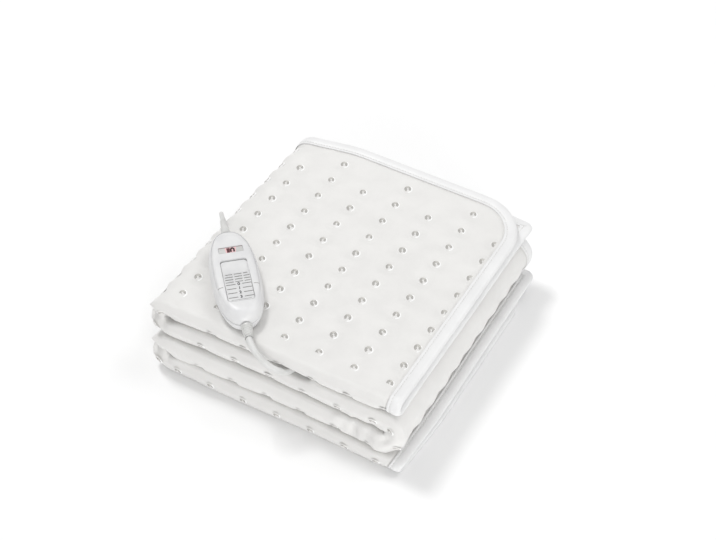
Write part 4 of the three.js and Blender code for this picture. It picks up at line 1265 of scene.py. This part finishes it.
class UNDERBLANKET_OT_binding(bpy.types.Operator):
    """Makes the satin tape round the open edges and its stitching"""

    bl_idname = "underblanket.binding"
    bl_label = "Edge binding"

    # Section of the tape: depth in from the edge, face, and height off it, round the outside first
    SECTION = (
        (15.0, 1, 0.15), (15.1, 1, 0.9), (14.4, 1, 1.25), (12.8, 1, 1.3), (12.0, 1, 0.8),
        (11.4, 1, 0.7), (10.8, 1, 0.9), (9.6, 1, 1.5), (7.0, 1, 1.75), (4.0, 1, 1.7), (1.6, 1, 1.35),
        (-0.2, 1, 0.6), (-1.3, 1, -0.6), (-1.7, 1, -2.0), (-1.7, -1, -2.0), (-1.3, -1, -0.6),
        (-0.2, -1, 0.6), (1.6, -1, 1.2), (4.0, -1, 1.35), (8.0, -1, 1.35), (11.4, -1, 0.8),
        (14.4, -1, 1.2), (15.1, -1, 0.9), (15.0, -1, 0.15), (8.0, -1, 0.15), (0.3, -1, 0.15),
        (-0.2, -1, -1.0), (-0.2, 1, -1.0), (0.3, 1, 0.15), (8.0, 1, 0.15),
    )
    # Stops along the short ends: the first one's distance from the side, and their spacing
    END_FIRST, END_STEP = 3.4, 4.2
    # The seam: its depth in from the edge, height off each face, and stitches' spacing in lengths
    SEAM = {"in": 11.4, "heights": ((1, 0.85), (-1, 0.95)), "spacing": 1.45}
    # A stitch: half its width, its crown and belly, how far its ends dip, and where it is widest
    STITCH = {"half": 0.42, "crown": 0.42, "belly": 0.3, "dip": 0.2, "shares": (0.22, 0.78)}

    def execute(self, context):
        settings = context.scene.underblanket
        walk = self.edge_walk()
        rings = np.stack([self.edge_line(walk, depth, face, off) for depth, face, off in self.SECTION],
                         axis=1)
        stops, count = rings.shape[:2]
        index = np.arange(stops * count).reshape(stops, count)
        after = np.roll(index, -1, axis=0)
        faces = np.stack([index, np.roll(index, -1, 1), np.roll(after, -1, 1), after], axis=-1)
        tape = mesh_object("binding_tape", rings.reshape(-1, 3), faces.reshape(-1, 4).tolist(),
                           [satin_tape(settings)])
        finish_piece(tape, PACK, "binding", "edge_binding")
        stitches = self.stitching(settings, walk)
        finish_piece(stitches, PACK, "binding")
        return {"FINISHED"}

    def edge_walk(self):
        """Stops round the edge in order: kind, s, zone, and angle or distance from the side."""
        s = length_stations()[1:-1]
        walk = [("long", float(v), 1, 0.0) for v in s]
        for kind, end in (("finish", FOLD_LENGTH), ("start", 0.0)):
            crease_y = float(crease_frame(np.array([end]))[3][0])
            back = float(back_of(fold_path_at(np.array([end])))[0])
            reach = np.arange(self.END_FIRST, back - crease_y, self.END_STEP)
            stops = [(kind, end, -1, float(side)) for side in reach]
            stops += [(kind, end, 0, math.radians(angle)) for angle in range(-90, 91, CREASE_STEP)]
            stops += [(kind, end, 1, float(side)) for side in reversed(reach)]
            if kind == "finish":
                walk += stops[::-1] + [("long", float(v), -1, 0.0) for v in reversed(s)]
            else:
                walk += stops
        return walk

    def edge_line(self, walk, depth, face, offset):
        """Points at the depth in from the edge, which is negative outside it."""
        kinds = np.array([stop[0] for stop in walk])
        s = np.array([stop[1] for stop in walk])
        zones = np.array([stop[2] for stop in walk])
        values = np.array([stop[3] for stop in walk])
        radius = np.where(zones > 0, CORNER_RADIUS["a"], CORNER_RADIUS["b"])
        is_long = kinds == "long"

        def follow(fixed):
            return np.where(fixed < radius, fixed + depth * (1 - fixed / radius), fixed)

        end = follow(np.minimum(s, FOLD_LENGTH - s))
        along = np.where(s < FOLD_LENGTH / 2, end, FOLD_LENGTH - end)
        s = np.where(is_long, along, np.where(kinds == "start", depth, FOLD_LENGTH - depth))
        back = back_of(fold_path_at(s))
        inset = np.where(is_long, depth, follow(values))
        across = np.where(zones == 0, values, back - inset)
        return cloth_points(s, zones, across, face, offset)

    def stitching(self, settings, walk):
        """Short threads in the seam's groove on both faces of the tape."""
        length = settings.stitch_length / MM
        points, faces = [], []
        for face, height in self.SEAM["heights"]:
            line, above = (self.edge_line(walk, self.SEAM["in"], face, off)
                           for off in (height, height + 1.0))
            line = np.concatenate([line, line[:1]])
            above = np.concatenate([above, above[:1]])
            steps = np.linalg.norm(np.diff(line, axis=0), axis=1)
            gone = np.concatenate([[0], np.cumsum(steps)])
            for begin in np.arange(0, gone[-1] - length, length * self.SEAM["spacing"]):
                ends = [self.at_length(gone, line, begin), self.at_length(gone, line, begin + length)]
                up = self.at_length(gone, above, begin + length / 2) - (ends[0] + ends[1]) / 2
                self.add_stitch(points, faces, *ends, up / np.linalg.norm(up))
        return mesh_object("binding_stitches", points, faces, [sewing_thread()])

    def at_length(self, gone, line, where):
        return np.array([np.interp(where, gone, line[:, axis]) for axis in range(3)])

    def add_stitch(self, points, faces, start, end, up):
        """One thread: a four-sided bead that dips into the tape at its ends."""
        along = end - start
        aside = np.cross(along, up)
        aside = aside / np.linalg.norm(aside) * self.STITCH["half"]
        first = len(points)
        points.append(start - up * self.STITCH["dip"])
        for share in self.STITCH["shares"]:
            middle = start + along * share
            points += [middle - aside, middle + up * self.STITCH["crown"], middle + aside,
                       middle - up * self.STITCH["belly"]]
        points.append(end - up * self.STITCH["dip"])
        last = first + 9
        for i in range(4):
            j = (i + 1) % 4
            faces.append((first, first + 1 + j, first + 1 + i))
            faces.append((first + 1 + i, first + 1 + j, first + 5 + j, first + 5 + i))
            faces.append((last, first + 5 + i, first + 5 + j))


class UNDERBLANKET_OT_control(bpy.types.Operator):
    """Makes the hand control's shells, its window, printed ticks and cord sleeves"""

    bl_idname = "underblanket.control"
    bl_label = "Hand control"

    # Outlines from the bottom up: how far in from the full oval at its sides and its ends, and how
    # high. The face's edge has a fine parting groove. Its rows have a fourth number, their height
    # at the cloth lead's end, where the groove runs out.
    LOWER = ((20.0, 20.0, 0.0), (12.0, 12.0, 0.0), (8.0, 8.0, 0.5), (5.0, 5.0, 1.6), (2.8, 2.8, 3.4),
             (1.4, 1.4, 6.0), (0.5, 0.5, 9.5), (0.0, 0.0, 12.6), (0.05, 0.05, 13.3), (0.7, 0.7, 14.0),
             (2.4, 2.4, 14.1))
    UPPER = ((2.4, 2.4, 14.2), (1.0, 1.0, 14.4), (0.5, 0.5, 15.2), (0.65, 1.1, 17.0),
             (1.1, 2.1, 19.8), (1.8, 3.8, 22.6), (2.8, 6.0, 25.0), (3.6, 7.4, 26.4),
             (3.8, 7.7, 25.5, 26.6), (4.6, 8.7, 25.6, 27.2), (4.7, 9.1, 27.2, 27.5), (5.4, 10.8, 28.3),
             (6.8, 13.4, 29.3), (8.6, 16.6, 29.8), (11.0, 20.0, 29.97), (15.0, 26.0, 30.0))
    SIDES = 128
    # Rows of UPPER from the side wall to the face, without the two of the groove's floor
    FLANK = (*UPPER[3:8], *UPPER[10:])
    # Part of the half turn, as a cosine, over which the groove runs out
    GROOVE_END, GROOVE_FADE = 0.3, 0.45
    CORNERS = {"slot": 1.5, "window": 1.2, "pane": 1.0}
    PATCH_ROOT = 0.05
    # Painted shade round the recess's floor, under the walls that face away from the light: distances
    # in from its wall, reach along the left wall, height
    JOINT = {"in": (0.1, 0.9), "reach": 24.0, "proud": 0.12}
    # The window's pane: gap round it, how far it lies under the face, and its rounded edge
    PANE = {"gap": 0.3, "under": 0.45, "edge": 0.3}
    # Marks in the window: name, outline, height, material and colour. The glow is a painted glow of
    # the level light, and the upper edge is painted shade under the window's end wall. The arch has
    # none here, and takes its outline from its radii.
    WINDOW_MARKS = (
        ("level_light_bar", ((-39.6, -5.2), (-31.9, -5.0), (-31.9, -1.4), (-39.6, -1.0)),
         0.18, "polycarbonate_tinted_red", "55262C"),
        ("level_light_arch", None, 0.2, "polycarbonate_tinted_dark", "260A10"),
        ("level_light_glow", ((-40.8, -7.4), (-31.6, -6.4), (-31.6, 5.6), (-40.8, 7.4)),
         0.06, "polycarbonate_lit_edge", "DDB6B8"),
        ("window_upper_edge", ((-41.1, -14.8), (-40.2, -14.8), (-40.2, 14.8), (-41.1, 14.8)),
         0.1, "polycarbonate_shaded_edge", "9C8E8E"),
    )
    # The arch's outer and inner round: middle along X, radius along X and radius along Y
    ARCH_ROUNDS = ((-36.6, 3.3, 3.0), (-36.2, 1.2, 0.9))
    ARCH = {"y": 2.0, "foot": -32.6, "steps": 13}
    # A tick: place along the control, from and to across it, half width, height and root
    TICK = {"x": 26.0, "from": 19.0, "to": 25.6, "half": 0.6, "proud": 0.16, "root": 0.3}
    TICK_STOPS = 9
    # The ribbed sleeve: ribs, their length in all, radii of the first and last, section of one rib
    RIBS, RIBS_LENGTH, RIB_RADII = 5, 18.4, (7.3, 5.4)
    RIB = ((0.2, 0.0), (0.55, 0.0), (0.68, 0.9), (0.92, 1.0))
    RIBBED_ROOT = ((0.0, 5.4), (0.0, 7.0))
    RIBBED_END = ((19.1, 5.3), (19.8, 5.2), (20.0, 4.95), (18.2, 4.6))
    TAPER = ((0.0, 5.6), (0.8, 6.4), (5.0, 5.9), (12.0, 5.0), (20.0, 4.3), (26.4, 3.85),
             (27.0, 3.5), (26.0, 3.2))

    def execute(self, context):
        shell = moulded_plastic("abs_moulded_satin_shell", "E0E0E0", "D9D9DA", 0.36)
        lower = self.oval_body("control_back_shell", self.LOWER, shell)
        upper = self.oval_body("control_front_shell", self.UPPER, shell)
        top = CONTROL_HEIGHT
        cut(upper, rounded_block("recess_cut", RECESS["from"], RECESS["to"], RECESS["half"],
                                 top - RECESS["depth"], top + 2, RECESS["corner"], 0, [shell]))
        cut(upper, rounded_block("slot_cut", SLOT["from"], SLOT["to"], SLOT["half"],
                                 top - RECESS["depth"] - SLOT["depth"], top - 1,
                                 self.CORNERS["slot"], 0, [shell]))
        cut(upper, rounded_block("window_cut", WINDOW["from"], WINDOW["to"], WINDOW["half"],
                                 top - WINDOW["depth"], top + 2, self.CORNERS["window"], 0,
                                 [shell]))
        upper.data.polygons.foreach_set("use_smooth", [True] * len(upper.data.polygons))
        upper.data.set_sharp_from_angle(angle=math.radians(32))
        finish_piece(lower, PACK, "shell", "control_lower_shell")
        finish_piece(upper, PACK, "shell", "control_upper_shell")
        # Painted shade at the foot of the recess's walls.
        self.recess_joint()
        self.window()
        self.ticks()
        self.sleeves()
        return {"FINISHED"}

    def oval_body(self, name, rows, material):
        """A body of superellipse rings, from rows of side inset, end inset and height."""
        points = []

        def fuller(value):
            return math.copysign(abs(value) ** (2 / CONTROL_SQUARENESS), value)

        for side, end, z, *plain_z in rows:
            for angle in ring_angles(self.SIDES):
                c, s = math.cos(angle), math.sin(angle)
                gone = smooth((c - self.GROOVE_END) / self.GROOVE_FADE) if plain_z else 0.0
                points.append(((CONTROL_LENGTH / 2 - end) * fuller(c),
                               (CONTROL_WIDTH / 2 - side) * fuller(s),
                               mix(z, plain_z[0], gone) if plain_z else z))
        return mesh_object(name, place_on_control(points), ring_faces(len(rows), self.SIDES),
                           [material], smooth_angle=50)

    def recess_joint(self):
        """Painted shade round the recess's floor, as a thin grey strip along its window end and its
        left wall.
        """
        corner, half = RECESS["corner"], RECESS["half"]
        x = RECESS["from"] + corner
        outline = []
        for inset, order in zip(self.JOINT["in"], (1, -1)):
            radius = corner - inset
            side = [(x + self.JOINT["reach"], corner - half - radius)]
            for y, first in ((corner - half, 270), (half - corner, 180)):
                for k in range(CORNER_STEPS):
                    angle = math.radians(first - 90 / (CORNER_STEPS - 1) * k)
                    side.append((x + radius * math.cos(angle), y + radius * math.sin(angle)))
            outline += side[::order]
        joint = self.flat_patch("recess_joint", outline, CONTROL_HEIGHT - RECESS["depth"],
                                self.JOINT["proud"], printed_grey("abs_shaded_joint", "8E8E8E"))
        finish_piece(joint, PACK, "shell")

    def window(self):
        """The frosted window and the level light's mark behind it, with a painted glow round the light
        and painted shade along the window's upper edge.
        """
        pane = moulded_plastic("polycarbonate_frosted_window", "D2D2D0", "C6C6C4", 0.22, 0.8, 0.01)
        gap = self.PANE["gap"]
        height = CONTROL_HEIGHT - self.PANE["under"]
        glass = rounded_block("window_pane", WINDOW["from"] + gap, WINDOW["to"] - gap,
                              WINDOW["half"] - gap, CONTROL_HEIGHT - WINDOW["depth"] + gap, height,
                              self.CORNERS["pane"], self.PANE["edge"], [pane])
        finish_piece(glass, PACK, "window", "indicator_window")
        for name, outline, thick, material, code in self.WINDOW_MARKS:
            mark = self.flat_patch(name, outline or self.arch_outline(), height, thick,
                                   printed_grey(material, code))
            finish_piece(mark, PACK, "window")

    def arch_outline(self):
        y, foot, steps = self.ARCH["y"], self.ARCH["foot"], self.ARCH["steps"]
        angles = [math.radians(90 + 180 / (steps - 1) * k) for k in range(steps)]
        outer, inner = [[(x + along * math.cos(angle), y + across * math.sin(angle))
                         for angle in angles] for x, along, across in self.ARCH_ROUNDS]
        out, in_ = (across for _, _, across in self.ARCH_ROUNDS)
        return [(foot, y + out), *outer, (foot, y - out), (foot, y - in_), *inner[::-1],
                (foot, y + in_)]

    def flat_patch(self, name, outline, z, thick, material):
        """A thin flat form on a face at height z, with its root a little inside the face."""
        points = [(x, y, level) for level in (z - self.PATCH_ROOT, z + thick) for x, y in outline]
        return mesh_object(name, place_on_control(points), ring_faces(2, len(outline)), [material],
                           smooth_angle=20)

    def ticks(self):
        """The printed tick at each side of the recess, where the switch's chosen level stands."""
        ink = printed_grey("ink_pad_printed_tick", "A9A8A6")
        tick = self.TICK
        power = CONTROL_SQUARENESS
        widths = [(CONTROL_WIDTH / 2 - side)
                  * (1 - (tick["x"] / (CONTROL_LENGTH / 2 - end)) ** power) ** (1 / power)
                  for side, end, *_ in self.FLANK]
        heights = [row[2] for row in self.FLANK]
        low, high = tick["x"] - tick["half"], tick["x"] + tick["half"]
        forms = []
        for side in (1, -1):
            rings = []
            for k in range(self.TICK_STOPS):
                y = side * mix(tick["from"], tick["to"], k / (self.TICK_STOPS - 1))
                z = float(np.interp(abs(y), widths[::-1], heights[::-1]))
                top, root = z + tick["proud"], z - tick["root"]
                rings.append([(low, y, top), (high, y, top), (high, y, root), (low, y, root)])
            forms.append(rings)
        points, faces = joined(forms)
        marks = mesh_object("level_ticks", place_on_control(points), faces, [ink], smooth_angle=30)
        finish_piece(marks, PACK, "shell")

    def sleeves(self):
        """The ribbed sleeve of the cloth lead and the tapered one of the mains lead."""
        rubber = moulded_plastic("tpe_moulded_sleeve", "D6D6D4", "CBCBC9", 0.5, 1.5, 0.05)
        begin = CONTROL_LENGTH / 2 + FACE_GAP
        pitch = self.RIBS_LENGTH / self.RIBS
        profile = [*self.RIBBED_ROOT]
        for i in range(self.RIBS):
            radius = mix(*self.RIB_RADII, i / (self.RIBS - 1))
            profile += [(pitch * (i + share), radius - inset) for share, inset in self.RIB]
        profile += self.RIBBED_END
        ribbed = sleeve("cloth_lead_sleeve", [(begin + x, r) for x, r in profile], [rubber])
        finish_piece(ribbed, PACK, "relief", "cloth_lead_relief")
        tapered = sleeve("mains_lead_sleeve", [(-begin - x, r) for x, r in self.TAPER], [rubber])
        finish_piece(tapered, PACK, "relief", "mains_lead_relief")


class UNDERBLANKET_OT_switch(bpy.types.Operator):
    """Makes the sliding level switch with its ridges, scale lines and digits"""

    bl_idname = "underblanket.switch"
    bl_label = "Level switch"

    # A bar: its root, and the shares of its width and height at its shoulders and its tips
    BAR = {"root": -0.2, "shoulder": 0.75, "tip": 0.3}
    # Ridges: places along the plate, ends across it, half width and height. The first row is
    # shorter, inside the plate's rounded corners.
    RIDGE_ROWS = (5.35, 9.65, 13.95, 18.25)
    RIDGE_COLUMNS = ((-15.2, -4.7), (-3.1, 6.9), (8.2, 16.2))
    RIDGE_HALF, RIDGE_HEIGHT, FIRST_REACH = 0.85, 0.7, 14.2
    # Painted shade beside each ridge, on its side away from the light, in the scale's ink: its offset,
    # half width and height
    GROOVE_BESIDE, GROOVE_HALF, GROOVE_HEIGHT = 1.5, 0.6, 0.05
    # The printed scale: the levels' places and figures, the lines' ends, the line that closes it
    LEVEL_ROWS = ((23.9, "0"), (30.9, "1"), (38.1, "2"), (45.5, "3"))
    LINE_COLUMNS = ((-15.2, -3.2), (4.4, 16.2))
    LINE_HALF, LINE_HEIGHT = 0.7, 0.08
    LAST_LINE = (49.8, 0.3, -12.4, 12.4)
    # The dotted line along each side of the scale
    DOTS = {"first": 24.0, "pitch": 2.1, "count": 12, "long": 1.1, "side": 16.1, "half": 0.22,
            "root": 0.1, "proud": 0.06}
    FOOT = {"half": 2.6, "deep": 4.0, "into": 0.5, "corner": 0.6}
    FIGURE = {"size": 6.2, "offset": 0.14, "thick": 0.12, "y": 0.5, "proud": 0.05}

    def execute(self, context):
        plastic = moulded_plastic("abs_moulded_satin_switch", "D8D8D8", "D1D1D2", 0.4)
        # The scale's ink also paints the shade beside the ridges.
        ink = printed_grey("ink_pad_printed_scale", "6F6E6C")
        dark_ink = printed_grey("ink_pad_printed_digit", "28282E")
        floor = CONTROL_HEIGHT - RECESS["depth"] + FACE_GAP
        self.face = floor + SLIDER["thick"]
        plate = rounded_block("level_switch_plate", SLIDER["from"], SLIDER["to"], SLIDER["half"],
                              floor, self.face, SLIDER["corner"], 0.4, [plastic])
        foot = rounded_block("level_switch_foot", SLIDER["foot_from"], SLIDER["foot_to"],
                             self.FOOT["half"], floor - self.FOOT["deep"],
                             floor + self.FOOT["into"], self.FOOT["corner"], 0, [plastic])
        finish_piece(plate, CONTROL_SWITCH, "slider", "level_slider")
        finish_piece(foot, CONTROL_SWITCH, "slider")
        self.ridges(plastic, ink)
        self.scale_lines(ink)
        self.digits(dark_ink)
        return {"FINISHED"}

    def bars(self, name, rows, material):
        """Low rounded bars on the plate: x middle, half width, y from, y to, height."""
        root, shoulder, tip = self.BAR["root"], self.BAR["shoulder"], self.BAR["tip"]
        forms = []
        for x, half, y0, y1, height in rows:
            section = ((-half, root), (-half * shoulder, height * shoulder), (0.0, height),
                       (half * shoulder, height * shoulder), (half, root))
            stops = ((y0, tip), (y0 + half, 1.0), (y1 - half, 1.0), (y1, tip))
            forms.append([[(x + dx * share, y, self.face + (dz * share if dz > 0 else dz))
                           for dx, dz in section] for y, share in stops])
        points, faces = joined(forms)
        piece = mesh_object(name, place_on_control(points), faces, [material], smooth_angle=50)
        finish_piece(piece, CONTROL_SWITCH, "slider")

    def ridges(self, plastic, ink):
        rows, shade = [], []
        for x in self.RIDGE_ROWS:
            reach = self.FIRST_REACH if x == self.RIDGE_ROWS[0] else SLIDER["half"]
            for y0, y1 in self.RIDGE_COLUMNS:
                ends = (max(y0, -reach), min(y1, reach))
                rows.append((x, self.RIDGE_HALF, *ends, self.RIDGE_HEIGHT))
                shade.append((x + self.GROOVE_BESIDE, self.GROOVE_HALF, *ends, self.GROOVE_HEIGHT))
        self.bars("level_switch_ridges", rows, plastic)
        # Painted shade: a thin strip of ink beside each ridge, on its side away from the light.
        self.bars("level_switch_grooves", shade, ink)

    def scale_lines(self, ink):
        rows = [(x, self.LINE_HALF, *ends, self.LINE_HEIGHT)
                for x, _ in self.LEVEL_ROWS for ends in self.LINE_COLUMNS]
        self.bars("level_switch_lines", [*rows, (*self.LAST_LINE, self.LINE_HEIGHT)], ink)
        dots = self.DOTS
        low, high = self.face - dots["root"], self.face + dots["proud"]
        forms = []
        for side in (-1, 1):
            y0, y1 = (side * dots["side"] + out for out in (-dots["half"], dots["half"]))
            for k in range(dots["count"]):
                x = dots["first"] + dots["pitch"] * k
                forms.append([[(end, y0, low), (end, y0, high), (end, y1, high), (end, y1, low)]
                              for end in (x, x + dots["long"])])
        points, faces = joined(forms)
        piece = mesh_object("level_switch_dots", place_on_control(points), faces, [ink],
                            smooth_angle=20)
        finish_piece(piece, CONTROL_SWITCH, "slider")

    def digits(self, ink):
        turn = math.radians(CONTROL_TURN)
        for x, figure in self.LEVEL_ROWS:
            text = bpy.data.curves.new("digit_" + figure, "FONT")
            text.body = figure
            text.size = self.FIGURE["size"] * MM
            text.offset = self.FIGURE["offset"] * MM
            text.extrude = self.FIGURE["thick"] * MM
            text.align_x = "CENTER"
            text.align_y = "CENTER"
            shape = bpy.data.objects.new("digit_shape", text)
            bpy.context.scene.collection.objects.link(shape)
            mesh = bpy.data.meshes.new_from_object(
                shape.evaluated_get(bpy.context.evaluated_depsgraph_get()))
            bpy.data.objects.remove(shape, do_unlink=True)
            bpy.data.curves.remove(text)
            place = place_on_control([(x, self.FIGURE["y"], self.face + self.FIGURE["proud"])])[0]
            # The digits stand upright when the cloth lead points down.
            mesh.transform(Matrix.Translation(Vector(place) * MM)
                           @ Matrix.Rotation(turn + math.pi / 2, 4, "Z"))
            mesh.materials.clear()
            mesh.materials.append(ink)
            piece = bpy.data.objects.new("level_digit_" + figure, mesh)
            bpy.context.scene.collection.objects.link(piece)
            finish_piece(piece, CONTROL_SWITCH, "slider")


class UNDERBLANKET_PT_panel(bpy.types.Panel):
    """Lists the settings and the build steps"""

    bl_idname = "UNDERBLANKET_PT_panel"
    bl_label = "Underblanket"
    bl_space_type = "VIEW_3D"
    bl_region_type = "UI"
    bl_category = "Underblanket"

    def draw(self, context):
        layout = self.layout
        settings = context.scene.underblanket
        for name in ("cloth_colour", "binding_colour", "dimple_depth", "dimple_spread",
                     "mark_size", "stitch_length", "key_power", "sky_strength"):
            layout.prop(settings, name)
        for operator in OPERATORS:
            layout.operator(operator.bl_idname)


OPERATORS = (
    UNDERBLANKET_OT_stage,
    UNDERBLANKET_OT_leads,
    UNDERBLANKET_OT_pad,
    UNDERBLANKET_OT_binding,
    UNDERBLANKET_OT_control,
    UNDERBLANKET_OT_switch,
)
CLASSES = (UnderblanketSettings, *OPERATORS, UNDERBLANKET_PT_panel)


def register():
    for cls in CLASSES:
        bpy.utils.register_class(cls)
    bpy.types.Scene.underblanket = bpy.props.PointerProperty(type=UnderblanketSettings)


def unregister():
    del bpy.types.Scene.underblanket
    for cls in reversed(CLASSES):
        bpy.utils.unregister_class(cls)


def main():
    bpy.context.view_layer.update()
    register()
    bpy.ops.underblanket.stage()
    bpy.ops.underblanket.leads()
    bpy.ops.underblanket.pad()
    bpy.ops.underblanket.binding()
    bpy.ops.underblanket.control()
    bpy.ops.underblanket.switch()


if __name__ == "__main__":
    main()
